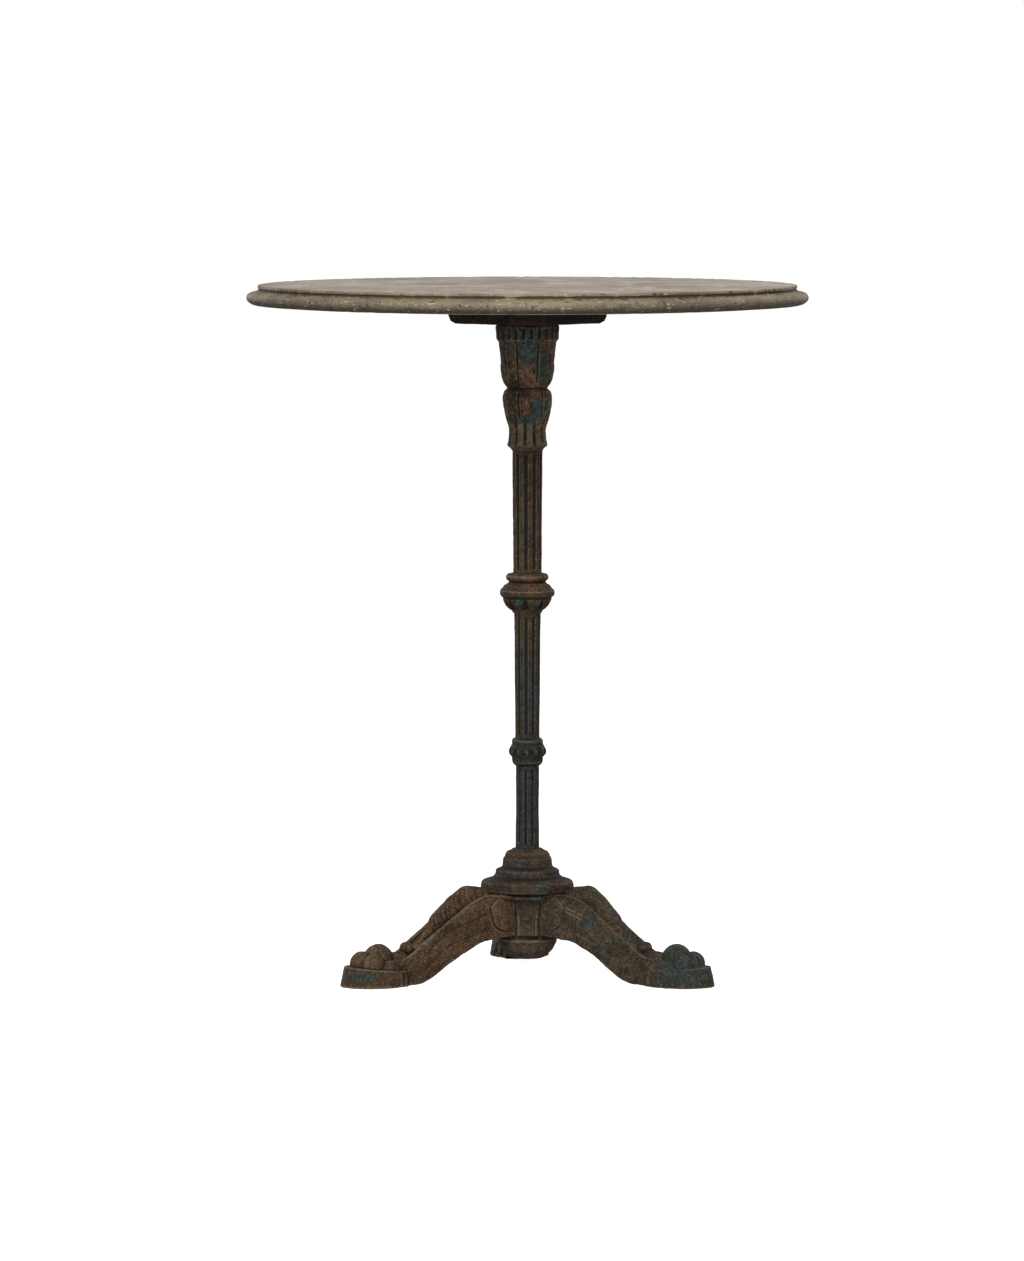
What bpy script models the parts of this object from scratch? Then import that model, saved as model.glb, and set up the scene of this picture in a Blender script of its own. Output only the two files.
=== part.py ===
"""Bistro table: a round moulded stone top on a cast-iron tripod pedestal.

The column is a stack of turned and fluted castings, pulled together by one tie rod that runs from the
spider under the stone to the hub, and three arched legs with paw feet are bolted to the hub.
Metres, +Z up, origin on the floor below the column's axis. One leg points to +Y, near enough.
"""

import math

import bmesh
import bpy
from mathutils import Matrix, Vector

# Whole table
TABLE_HEIGHT = 0.741
TOP_RADIUS = 0.300
TOP_THICKNESS = 0.0225
FOOT_REACH = 0.2245
LEG_COUNT = 3
FIRST_LEG_ANGLE = math.radians(-30)
REAR_LEG_TURN = math.radians(2.6)  # the rear leg stands a little towards -X
GAP = 0.0003  # between faces that touch

# Column joints, heights above the floor
STONE_UNDERSIDE = TABLE_HEIGHT - TOP_THICKNESS
SPIDER_TOP = STONE_UNDERSIDE - GAP
SPIDER_DEPTH = 0.0203
CAPITAL_TOP = SPIDER_TOP - SPIDER_DEPTH - GAP
CAPITAL_FOOT = 0.5643
KNOP_TOP = 0.4330
KNOP_FOOT = 0.3900
RING_TOP = 0.2560
RING_FOOT = 0.2260
HUB_TOP = 0.1370
SPIGOT_RADIUS = 0.0100
SPIGOT_LENGTH = 0.0060

# Tie rod and its fittings
ROD_RADIUS = 0.0060
ROD_BORE = 0.0070
ROD_WASHER_RADIUS = 0.0120
ROD_WASHER_THICKNESS = 0.0025
ROD_NUT_FLATS = 0.0190
TOP_NUT_HEIGHT = 0.0065
BOTTOM_NUT_HEIGHT = 0.0100
NUT_RECESS_RADIUS = 0.0145
NUT_RECESS_DEPTH = 0.0110

# Spider under the stone
ARM_COUNT = 4
ARM_REACH = 0.085
ARM_ROOT_WIDTH = 0.046
ARM_TIP_WIDTH = 0.034
ARM_TIP_DEPTH = 0.0180
BOSS_FOOT_RADIUS = 0.0350
BOSS_FLARE_RADIUS = 0.0400
BOSS_DROP = 0.0005  # the boss stands lower than the arms
CROSS_DROP = 0.0002  # one pair of arms lies this much lower, so that no faces coincide

# Screws that hold the stone, in threaded sleeves
SCREW_CIRCLE = 0.068
SCREW_RADIUS = 0.0030
SCREW_FLATS = 0.0100
SCREW_HEAD_HEIGHT = 0.0040
SCREW_LENGTH = 0.0235
SCREW_WASHER_RADIUS = 0.0062
SCREW_WASHER_THICKNESS = 0.0015
COUNTERBORE_RADIUS = 0.0075
COUNTERBORE_HEIGHT = 0.7067
SLEEVE_RADIUS = 0.0062
SLEEVE_LENGTH = 0.0135

# Hub
HUB_BODY_RADIUS = 0.0280
HUB_CAVITY_RADIUS = 0.0200
HUB_CAVITY_TOP = 0.0950
HUB_FOOT = 0.0190
HUB_DRAIN_RADIUS = 0.0145

# Legs: side curves as (distance from the axis, height), and the feet
LEG_EDGE = ((0.026, 0.088), (0.058, 0.091), (0.100, 0.071), (0.150, 0.0405))
LEG_UNDERSIDE = ((0.026, 0.046), (0.065, 0.042), (0.107, 0.0185), (0.146, 0.001))
LEG_HALF_WIDTH = 0.0200
LEG_WALL = 0.0055
LEG_STATIONS = 10
SPINE_HEIGHT = 0.0145
SPINE_HALF_WIDTH = 0.0105
PAD_CENTRE = 0.186
PAD_HALF_WIDTH = 0.0320
PAD_HEIGHT = 0.0205
PAD_HEEL = 0.145
PAD_SLOPE = 0.0055
BALL_CENTRE = 0.1835
ANKLE_KNOB = 0.1470
BOLT_HEIGHT = 0.0650
BOLT_RADIUS = 0.0040
BOLT_FLATS = 0.0130
BOLT_HEAD_HEIGHT = 0.0053
BOLT_LENGTH = 0.0235
BOLT_SEAT = 0.0213
BOLT_WASHER_RADIUS = 0.0080
BOLT_WASHER_THICKNESS = 0.0016
BOLT_SPOT_RADIUS = 0.0085

# Facets
TOP_STEPS = 64
COLUMN_STEPS = 36
SMALL_STEPS = 12
ARC_STEPS = 2

# Colour, roughness, metallic
STONE = ((0.40, 0.37, 0.33), 0.75, 0.0)
RUSTY_IRON = ((0.085, 0.045, 0.030), 0.80, 0.4)
PAINTED_IRON = ((0.075, 0.085, 0.085), 0.70, 0.3)
STEEL = ((0.35, 0.34, 0.33), 0.50, 0.9)
LEAD = ((0.25, 0.25, 0.26), 0.65, 0.8)


def clear_scene():
    for old in list(bpy.data.objects):
        bpy.data.objects.remove(old, do_unlink=True)


def new_collection(name):
    collection = bpy.data.collections.new(name)
    bpy.context.scene.collection.children.link(collection)
    return collection


def finish_material(name, finish):
    colour, roughness, metallic = finish
    material = bpy.data.materials.new(name)
    material.use_nodes = True
    shader = material.node_tree.nodes["Principled BSDF"]
    shader.inputs["Base Color"].default_value = (*colour, 1.0)
    shader.inputs["Roughness"].default_value = roughness
    shader.inputs["Metallic"].default_value = metallic
    material.diffuse_color = (*colour, 1.0)
    return material


def add_piece(name, mesh, finish, location=(0, 0, 0), rotation=(0, 0, 0)):
    """A named sub-part; copies share a mesh, so the material sits on the object."""
    piece = bpy.data.objects.new(name, mesh)
    parts.objects.link(piece)
    if not mesh.materials:
        mesh.materials.append(None)
    piece.material_slots[0].link = "OBJECT"
    piece.material_slots[0].material = finish_material(name, finish)
    piece.location = location
    piece.rotation_euler = rotation
    return piece


def add_guide(name, mesh, location=(0, 0, 0), rotation=(0, 0, 0)):
    guide = bpy.data.objects.new(name, mesh)
    cutters.objects.link(guide)
    guide.hide_render = True
    guide.display_type = "WIRE"
    guide.location = location
    guide.rotation_euler = rotation
    return guide


def apply_modifiers(piece):
    """The piece's mesh with its modifiers and its placing applied."""
    bpy.context.view_layer.update()
    evaluated = piece.evaluated_get(bpy.context.evaluated_depsgraph_get())
    mesh = bpy.data.meshes.new_from_object(evaluated)
    mesh.transform(piece.matrix_world)
    return mesh


def bake_guide(guide):
    mesh = apply_modifiers(guide)
    bpy.data.objects.remove(guide, do_unlink=True)
    return mesh


def combine(piece, tool, operation):
    step = piece.modifiers.new(tool.name, "BOOLEAN")
    step.operation = operation
    step.object = tool
    step.solver = "EXACT"


def shade(mesh):
    mesh.shade_smooth()
    mesh.set_sharp_from_angle(angle=math.radians(40))
    return mesh


def outline(points):
    """A profile's points. A third value is the bulge of the stretch that ends there: the arc's height over
    half its chord, positive to the left of the way along it, which is outwards on a side that runs down."""
    path = [Vector(points[0][:2])]
    for point in points[1:]:
        start = path[-1]
        end = Vector(point[:2])
        if len(point) == 3:
            path.extend(arc(start, end, point[2]))
        path.append(end)
    return path


def arc(start, end, bulge):
    """The points between start and end on an arc."""
    chord = end - start
    sweep = 4 * math.atan(bulge)
    radius = chord.length / (2 * math.sin(sweep / 2))
    normal = Vector((-chord.y, chord.x)).normalized()
    centre = (start + end) / 2 - normal * radius * math.cos(sweep / 2)
    found = []
    for i in range(1, ARC_STEPS):
        turn = Matrix.Rotation(-sweep * i / ARC_STEPS, 2)
        found.append(centre + turn @ (start - centre))
    return found


def turned_mesh(name, points, steps, base=0.0, closed=True):
    """A profile turned about Z. A closed one has a bore; an open one starts and ends on the axis."""
    path = outline(points)
    count = len(path)
    edges = [(i, i + 1) for i in range(count - 1)]
    if closed:
        edges.append((count - 1, 0))
    mesh = bpy.data.meshes.new(name)
    mesh.from_pydata([(p.x, 0, p.y - base) for p in path], edges, [])
    guide = add_guide(name + "_profile", mesh)
    screw = guide.modifiers.new("turn", "SCREW")
    screw.steps = steps
    screw.render_steps = steps
    screw.use_merge_vertices = True
    screw.merge_threshold = 0.00001
    solid = bake_guide(guide)
    solid.name = name
    return shade(solid)


def cylinder_mesh(name, radius, length, steps=SMALL_STEPS, top_radius=None):
    """A cylinder or frustum that stands on Z = 0."""
    mesh = bpy.data.meshes.new(name)
    body = bmesh.new()
    bmesh.ops.create_cone(
        body,
        cap_ends=True,
        segments=steps,
        radius1=radius,
        radius2=radius if top_radius is None else top_radius,
        depth=length,
        matrix=Matrix.Translation((0, 0, length / 2)),
    )
    body.to_mesh(mesh)
    body.free()
    return shade(mesh)


def ball_mesh(name, radii, centre, segments=16, rings=8):
    mesh = bpy.data.meshes.new(name)
    body = bmesh.new()
    place = Matrix.Translation(centre) @ Matrix.Diagonal((*radii, 1.0))
    bmesh.ops.create_uvsphere(body, u_segments=segments, v_segments=rings, radius=1, matrix=place)
    body.to_mesh(mesh)
    body.free()
    return shade(mesh)


def ring_mesh(name, outer, inner, height, steps=SMALL_STEPS):
    """A washer or a sleeve that stands on Z = 0."""
    return turned_mesh(name, ((inner, height), (outer, height), (outer, 0), (inner, 0)), steps)


def nut_mesh(name, flats, bore, height):
    """A hexagon nut that stands on Z = 0."""
    nut = add_guide(name, cylinder_mesh(name, flats / math.sqrt(3), height, 6))
    hole_mesh = cylinder_mesh(name + "_bore", bore, height * 3)
    hole = add_guide(name + "_bore", hole_mesh, (0, 0, -height))
    combine(nut, hole, "DIFFERENCE")
    mesh = bake_guide(nut)
    bpy.data.objects.remove(hole, do_unlink=True)
    return shade(mesh)


def bolt_mesh(name, flats, head_height, radius, length):
    """A hexagon-headed bolt up Z: the head is below Z = 0 and the shank above."""
    head_mesh = cylinder_mesh(name, flats / math.sqrt(3), head_height, 6)
    head = add_guide(name, head_mesh, (0, 0, -head_height))
    sunk = head_height / 2
    shank = add_guide(name + "_shank", cylinder_mesh(name, radius, length + sunk), (0, 0, -sunk))
    combine(head, shank, "UNION")
    mesh = bake_guide(head)
    bpy.data.objects.remove(shank, do_unlink=True)
    return shade(mesh)


def stepped_cutter(name, wide, seat, narrow, start, end):
    """A counterbore's cutter: wide from start to seat, and narrow from there to end, along Z."""
    profile = ((0, end), (narrow, end), (narrow, seat), (wide, seat), (wide, start), (0, start))
    if end < start:
        profile = tuple(reversed(profile))
    return turned_mesh(name, profile, SMALL_STEPS, closed=False)


def flute(mesh, count, depth, low, high, least_radius):
    """Sinks flutes into the outer surface between two heights."""
    for vertex in mesh.vertices:
        radius = math.hypot(vertex.co.x, vertex.co.y)
        if radius < least_radius or not low < vertex.co.z < high:
            continue
        angle = math.atan2(vertex.co.y, vertex.co.x)
        sunk = depth * (1 - math.cos(count * angle)) / 2
        vertex.co.xy *= (radius - sunk) / radius


def around(radius, angle, height):
    return (radius * math.cos(angle), radius * math.sin(angle), height)


def arm_angles():
    return [i * math.tau / ARM_COUNT for i in range(ARM_COUNT)]


def leg_angles():
    """The right, rear and left legs' directions."""
    angles = [FIRST_LEG_ANGLE + i * math.tau / LEG_COUNT for i in range(LEG_COUNT)]
    angles[1] += REAR_LEG_TURN
    return angles


# Stone top


def make_stone_top():
    """Flat top, small arris, cove and full bead, rounded in to the underside."""
    top = TABLE_HEIGHT
    profile = (
        (0, top),
        (TOP_RADIUS - 0.0130, top),
        (TOP_RADIUS - 0.0116, top - 0.0014, 0.41),
        (TOP_RADIUS - 0.0116, top - 0.0040),
        (TOP_RADIUS - 0.0030, top - 0.0085, -0.35),
        (TOP_RADIUS, top - 0.0140, 0.35),
        (TOP_RADIUS - 0.0080, STONE_UNDERSIDE, 0.42),
        (0, STONE_UNDERSIDE),
    )
    mesh = turned_mesh("stone_top", profile, TOP_STEPS, closed=False)
    stone = add_piece("stone_top", mesh, STONE)
    hole_depth = SLEEVE_LENGTH + 3 * GAP
    hole = cylinder_mesh("sleeve_hole", SLEEVE_RADIUS + GAP, hole_depth * 2)
    for i, angle in enumerate(arm_angles()):
        place = around(SCREW_CIRCLE, angle, STONE_UNDERSIDE - hole_depth)
        combine(stone, add_guide(f"sleeve_hole_{i + 1}", hole, place), "DIFFERENCE")


def make_stone_fixings():
    """At each arm a threaded sleeve set in the stone, a screw from below and its washer."""
    sleeve = ring_mesh("threaded_sleeve", SLEEVE_RADIUS, SCREW_RADIUS + GAP, SLEEVE_LENGTH)
    washer = ring_mesh("screw_washer", SCREW_WASHER_RADIUS, SCREW_RADIUS + GAP, SCREW_WASHER_THICKNESS)
    screw = bolt_mesh("top_screw", SCREW_FLATS, SCREW_HEAD_HEIGHT, SCREW_RADIUS, SCREW_LENGTH)
    washer_height = COUNTERBORE_HEIGHT - GAP - SCREW_WASHER_THICKNESS
    for i, angle in enumerate(arm_angles()):
        number = i + 1
        sleeve_place = around(SCREW_CIRCLE, angle, STONE_UNDERSIDE + GAP)
        add_piece(f"threaded_sleeve_{number}", sleeve, LEAD, sleeve_place)
        washer_place = around(SCREW_CIRCLE, angle, washer_height)
        add_piece(f"screw_washer_{number}", washer, STEEL, washer_place)
        screw_place = around(SCREW_CIRCLE, angle, washer_height - GAP)
        add_piece(f"top_screw_{number}", screw, STEEL, screw_place)


# Spider


def arm_beam_mesh():
    """Two opposite arms as one beam along X: its side outline pushed out to the arms' width, with the ends
    drawn in."""
    root = SPIDER_TOP - SPIDER_DEPTH + BOSS_DROP
    right = (
        (ARM_REACH, SPIDER_TOP),
        (ARM_REACH, SPIDER_TOP - ARM_TIP_DEPTH / 2),
        (ARM_REACH - 0.0130, SPIDER_TOP - ARM_TIP_DEPTH, 0.41),
        (BOSS_FLARE_RADIUS, root + 0.0008),
        (BOSS_FOOT_RADIUS / 2, root),
    )
    half = outline(right)
    whole = half + [Vector((-p.x, p.y)) for p in reversed(half)]
    mesh = bpy.data.meshes.new("spider_arm")
    body = bmesh.new()
    corners = [body.verts.new((p.x, -ARM_ROOT_WIDTH / 2, p.y)) for p in whole]
    side = body.faces.new(corners)
    pushed = bmesh.ops.extrude_face_region(body, geom=[side])["geom"]
    far = [v for v in pushed if isinstance(v, bmesh.types.BMVert)]
    bmesh.ops.translate(body, verts=far, vec=(0, ARM_ROOT_WIDTH, 0))
    for vertex in body.verts:
        along = abs(vertex.co.x) / ARM_REACH
        vertex.co.y *= 1 + (ARM_TIP_WIDTH / ARM_ROOT_WIDTH - 1) * along
    bmesh.ops.recalc_face_normals(body, faces=body.faces)
    body.to_mesh(mesh)
    body.free()
    return shade(mesh)


def make_spider():
    """A four-armed bracket with a flared boss, bored for the tie rod and the stone's screws."""
    low = SPIDER_TOP - SPIDER_DEPTH
    beam = arm_beam_mesh()
    spider = add_piece("top_spider", beam, RUSTY_IRON)
    cross = add_guide("spider_cross_arms", beam, (0, 0, -CROSS_DROP), (0, 0, math.pi / 2))
    combine(spider, cross, "UNION")
    flare = (
        (0, SPIDER_TOP - BOSS_DROP),
        (BOSS_FLARE_RADIUS, SPIDER_TOP - BOSS_DROP),
        (BOSS_FLARE_RADIUS, SPIDER_TOP - 0.0060),
        (BOSS_FOOT_RADIUS, low, -0.25),
        (0, low),
    )
    boss = turned_mesh("spider_boss", flare, COLUMN_STEPS, closed=False)
    half_facet = math.pi / COLUMN_STEPS
    combine(spider, add_guide("spider_boss", boss, rotation=(0, 0, half_facet)), "UNION")
    recess = SPIDER_TOP - NUT_RECESS_DEPTH
    centre = stepped_cutter("rod_bore", NUT_RECESS_RADIUS, recess, ROD_BORE, SPIDER_TOP + 0.01, low - 0.01)
    combine(spider, add_guide("rod_bore", centre), "DIFFERENCE")
    seat = COUNTERBORE_HEIGHT
    screw_hole = SCREW_RADIUS + 2 * GAP
    bore = stepped_cutter("screw_bore", COUNTERBORE_RADIUS, seat, screw_hole, low - 0.01, SPIDER_TOP + 0.01)
    for i, angle in enumerate(arm_angles()):
        combine(spider, add_guide(f"screw_bore_{i + 1}", bore, around(SCREW_CIRCLE, angle, 0)), "DIFFERENCE")


# Column


def column_piece(name, side, finish, base, socket_above=False, socket_below=False):
    """A casting of the column: its side runs from the top down, and sockets take the shafts' spigots."""
    top = side[0][1]
    bottom = side[-1][1]
    socket = SPIGOT_RADIUS + GAP
    deep = SPIGOT_LENGTH + GAP
    bore_top = [(ROD_BORE, top)]
    if socket_above:
        bore_top = [(ROD_BORE, top - deep), (socket, top - deep), (socket, top)]
    bore_bottom = [(ROD_BORE, bottom)]
    if socket_below:
        bore_bottom = [(socket, bottom), (socket, bottom + deep), (ROD_BORE, bottom + deep)]
    profile = (*bore_top, *side, *bore_bottom)
    mesh = turned_mesh(name, profile, COLUMN_STEPS, base)
    add_piece(name, mesh, finish, (0, 0, base))
    return mesh


def shaft(name, top, bottom, top_radius, bottom_radius, flutes, finish):
    """A fluted shaft between two castings, with a spigot at each end."""
    high = top - GAP
    low = bottom + GAP
    plain = 0.0030
    side = (
        (ROD_BORE, high + SPIGOT_LENGTH),
        (SPIGOT_RADIUS, high + SPIGOT_LENGTH),
        (SPIGOT_RADIUS, high),
        (top_radius, high),
        (top_radius, high - plain),
        (top_radius, high - 2 * plain),
        (bottom_radius, low + 2 * plain),
        (bottom_radius, low + plain),
        (bottom_radius, low),
        (SPIGOT_RADIUS, low),
        (SPIGOT_RADIUS, low - SPIGOT_LENGTH),
        (ROD_BORE, low - SPIGOT_LENGTH),
    )
    mesh = turned_mesh(name, side, COLUMN_STEPS, low)
    flute(mesh, flutes, 0.0012, 1.5 * plain, high - low - 1.5 * plain, SPIGOT_RADIUS + 0.001)
    add_piece(name, mesh, finish, (0, 0, low))


def make_capital():
    """Fluted band and bell, a neck, a leafy bulge and a petalled skirt over the shaft."""
    side = (
        (0.0332, CAPITAL_TOP),
        (0.0340, CAPITAL_TOP - 0.0020),
        (0.0334, 0.6840),
        (0.0315, 0.6815),
        (0.0308, 0.6790),
        (0.0279, 0.6440, 0.06),
        (0.0215, 0.6315, 0.25),
        (0.0262, 0.6190, -0.20),
        (0.0248, 0.6090, 0.10),
        (0.0193, 0.5865, -0.08),
        (0.0212, 0.5710, -0.10),
        (0.0200, 0.5665, 0.40),
        (0.0168, CAPITAL_FOOT),
    )
    base = CAPITAL_FOOT
    mesh = column_piece("capital", side, RUSTY_IRON, base, socket_below=True)
    flute(mesh, 12, 0.0008, 0.6440 - base, 0.6810 - base, 0.02)
    flute(mesh, 12, 0.0016, 0.5660 - base, 0.5800 - base, 0.018)


def make_knop():
    """A torus ring, a groove, a shoulder and band, and a gadrooned bowl below."""
    side = (
        (0.0165, KNOP_TOP),
        (0.0226, 0.4295, 0.30),
        (0.0200, 0.4240, 0.45),
        (0.0200, 0.4228),
        (0.0270, 0.4165, 0.10),
        (0.0290, 0.4145, 0.20),
        (0.0290, 0.4100),
        (0.0264, 0.4072),
        (0.0250, 0.4035),
        (0.0180, 0.3940, 0.22),
        (0.0155, KNOP_FOOT),
    )
    mesh = column_piece("middle_knop", side, RUSTY_IRON, KNOP_FOOT, socket_above=True, socket_below=True)
    flute(mesh, 12, 0.0010, 0.3935 - KNOP_FOOT, 0.4040 - KNOP_FOOT, 0.016)


def make_lower_ring():
    """A bossed collar between the lower shafts."""
    side = (
        (0.0135, RING_TOP),
        (0.0165, 0.2530, 0.30),
        (0.0168, 0.2490),
        (0.0195, 0.2410, 0.20),
        (0.0167, 0.2340, 0.25),
        (0.0161, 0.2295),
        (0.0128, RING_FOOT, 0.20),
    )
    mesh = column_piece("lower_ring", side, PAINTED_IRON, RING_FOOT, socket_above=True, socket_below=True)
    flute(mesh, 12, 0.0012, 0.2380 - RING_FOOT, 0.2440 - RING_FOOT, 0.016)


def make_shafts():
    shaft("upper_shaft", CAPITAL_FOOT, KNOP_TOP, 0.0163, 0.0153, 12, RUSTY_IRON)
    shaft("lower_shaft", KNOP_FOOT, RING_TOP, 0.0142, 0.0131, 12, PAINTED_IRON)
    shaft("bottom_shaft", RING_FOOT, HUB_TOP, 0.0123, 0.0128, 12, PAINTED_IRON)


def make_tie_rod():
    """The rod, with a washer and nut in the spider's recess and another pair under the hub's web."""
    recess = SPIDER_TOP - NUT_RECESS_DEPTH
    washer = ring_mesh("rod_washer", ROD_WASHER_RADIUS, ROD_RADIUS + GAP, ROD_WASHER_THICKNESS)
    top_nut = nut_mesh("top_nut", ROD_NUT_FLATS, ROD_RADIUS + GAP, TOP_NUT_HEIGHT)
    bottom_nut = nut_mesh("bottom_nut", ROD_NUT_FLATS, ROD_RADIUS + GAP, BOTTOM_NUT_HEIGHT)
    washer_above = recess + GAP
    add_piece("top_washer", washer, STEEL, (0, 0, washer_above))
    nut_above = washer_above + ROD_WASHER_THICKNESS + GAP
    add_piece("top_nut", top_nut, STEEL, (0, 0, nut_above))
    washer_below = HUB_CAVITY_TOP - GAP - ROD_WASHER_THICKNESS
    add_piece("bottom_washer", washer, STEEL, (0, 0, washer_below))
    nut_below = washer_below - GAP - BOTTOM_NUT_HEIGHT
    add_piece("bottom_nut", bottom_nut, STEEL, (0, 0, nut_below))
    rod_foot = nut_below - 0.003
    rod_length = nut_above + TOP_NUT_HEIGHT + 0.0005 - rod_foot
    rod = cylinder_mesh("tie_rod", ROD_RADIUS, rod_length)
    add_piece("tie_rod", rod, STEEL, (0, 0, rod_foot))


# Hub


def make_hub():
    """Stacked rings over a hollow cup, bored through its wall for the leg bolts."""
    socket = SPIGOT_RADIUS + GAP
    deep = SPIGOT_LENGTH + GAP
    profile = (
        (ROD_BORE, HUB_TOP - deep),
        (socket, HUB_TOP - deep),
        (socket, HUB_TOP),
        (0.0165, HUB_TOP),
        (0.0250, 0.1305, 0.35),
        (0.0262, 0.1260),
        (0.0272, 0.1200, 0.10),
        (0.0340, 0.1145, -0.15),
        (0.0345, 0.1105),
        (0.0370, 0.1075, -0.20),
        (0.0470, 0.1045, -0.20),
        (0.0500, 0.1000, 0.40),
        (0.0500, 0.0960),
        (0.0470, 0.0932, 0.30),
        (HUB_BODY_RADIUS, 0.0930),
        (HUB_BODY_RADIUS, 0.0400),
        (0.0284, 0.0375, 0.50),
        (0.0268, 0.0350),
        (0.0225, 0.0245, 0.15),
        (0.0160, HUB_FOOT, 0.15),
        (HUB_DRAIN_RADIUS, HUB_FOOT),
        (HUB_CAVITY_RADIUS, 0.0280),
        (HUB_CAVITY_RADIUS, HUB_CAVITY_TOP),
        (ROD_BORE, HUB_CAVITY_TOP),
    )
    mesh = turned_mesh("base_hub", profile, COLUMN_STEPS, HUB_FOOT)
    hub = add_piece("base_hub", mesh, RUSTY_IRON, (0, 0, HUB_FOOT))
    bolt_hole = BOLT_RADIUS + 2 * GAP
    bore = stepped_cutter("bolt_bore", BOLT_SPOT_RADIUS, BOLT_SEAT, bolt_hole, 0.010, 0.035)
    for i, angle in enumerate(leg_angles()):
        tool = add_guide(f"bolt_bore_{i + 1}", bore, (0, 0, BOLT_HEIGHT), (0, math.pi / 2, angle))
        combine(hub, tool, "DIFFERENCE")


# Legs


def curve_point(points, t):
    """A point on the smooth curve through four points, with t from 0 to 1 along it."""
    padded = [2 * points[0] - points[1], *points, 2 * points[-1] - points[-2]]
    place = min(t * (len(points) - 1), len(points) - 1.0001)
    i = int(place)
    u = place - i
    a, b, c, d = padded[i : i + 4]
    return (2 * b + (c - a) * u + (2 * a - 5 * b + 4 * c - d) * u**2 + (3 * b - a - 3 * c + d) * u**3) / 2


def loft_mesh(name, sections):
    """A closed solid through sections that have the same number of points."""
    mesh = bpy.data.meshes.new(name)
    body = bmesh.new()
    rings = [[body.verts.new(p) for p in section] for section in sections]
    for near, far in zip(rings, rings[1:]):
        count = len(near)
        for i in range(count):
            j = (i + 1) % count
            body.faces.new((near[i], near[j], far[j], far[i]))
    body.faces.new(list(reversed(rings[0])))
    body.faces.new(rings[-1])
    bmesh.ops.recalc_face_normals(body, faces=body.faces)
    body.to_mesh(mesh)
    body.free()
    return mesh


def leg_section(t, spine):
    """Across the leg: a raised lip along each edge, a groove inside it and the rounded spine between."""
    edge = curve_point([Vector(p) for p in LEG_EDGE], t)
    under = curve_point([Vector(p) for p in LEG_UNDERSIDE], t)
    up = (edge - under).normalized()
    half = LEG_HALF_WIDTH - 0.0020 * math.sin(math.pi * t)
    groove = half - 0.0060
    shape = (
        (half, under, 0),
        (half, edge, -0.0008),
        (half - 0.0008, edge, 0),
        (half - 0.0035, edge, 0),
        (groove, edge, -0.0035),
        (SPINE_HALF_WIDTH, edge, -0.0035),
        (SPINE_HALF_WIDTH * 0.75, edge, spine * 0.62),
        (SPINE_HALF_WIDTH * 0.35, edge, spine * 0.92),
    )
    section = []
    for side, start, raised in shape:
        place = start + up * raised
        section.append(Vector((place.x, side, place.y)))
    crown = edge + up * spine
    other = [Vector((p.x, -p.y, p.z)) for p in reversed(section)]
    return [*section, Vector((crown.x, 0, crown.y)), *other]


def channel_section(t):
    """Across the cored channel under the leg."""
    edge = curve_point([Vector(p) for p in LEG_EDGE], t)
    under = curve_point([Vector(p) for p in LEG_UNDERSIDE], t)
    up = (edge - under).normalized()
    half = LEG_HALF_WIDTH - LEG_WALL
    roof = edge - up * 2 * LEG_WALL
    below = under - up * 0.010
    corners = ((half, below), (half, roof), (-half, roof), (-half, below))
    return [Vector((p.x, side, p.y)) for side, p in corners]


def spine_at(t):
    """The spine's height over the edges: level under the hub's ring, full on the arch, low at the ankle."""
    rise = min(max((t - 0.30) / 0.12, 0.0), 1.0)
    fall = min(max((0.90 - t) / 0.45, 0.0), 1.0)
    return SPINE_HEIGHT * rise * fall - 0.0020


def pad_mesh():
    """The foot's plinth: its plan is a narrow heel that widens to a round toe, with sloping sides."""
    reach = FOOT_REACH - PAD_CENTRE
    rings = []
    for height, inset in ((0, 0), (PAD_HEIGHT, PAD_SLOPE)):
        ring = [Vector((PAD_HEEL, LEG_HALF_WIDTH - inset / 2, height))]
        for i in range(13):
            angle = math.radians(100) - i * math.radians(200) / 12
            ring.append(
                Vector(
                    (
                        PAD_CENTRE + (reach - inset) * math.cos(angle),
                        (PAD_HALF_WIDTH - inset) * math.sin(angle),
                        height,
                    )
                )
            )
        ring.append(Vector((PAD_HEEL, -LEG_HALF_WIDTH + inset / 2, height)))
        rings.append(ring)
    return loft_mesh("foot_pad", rings)


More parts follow.
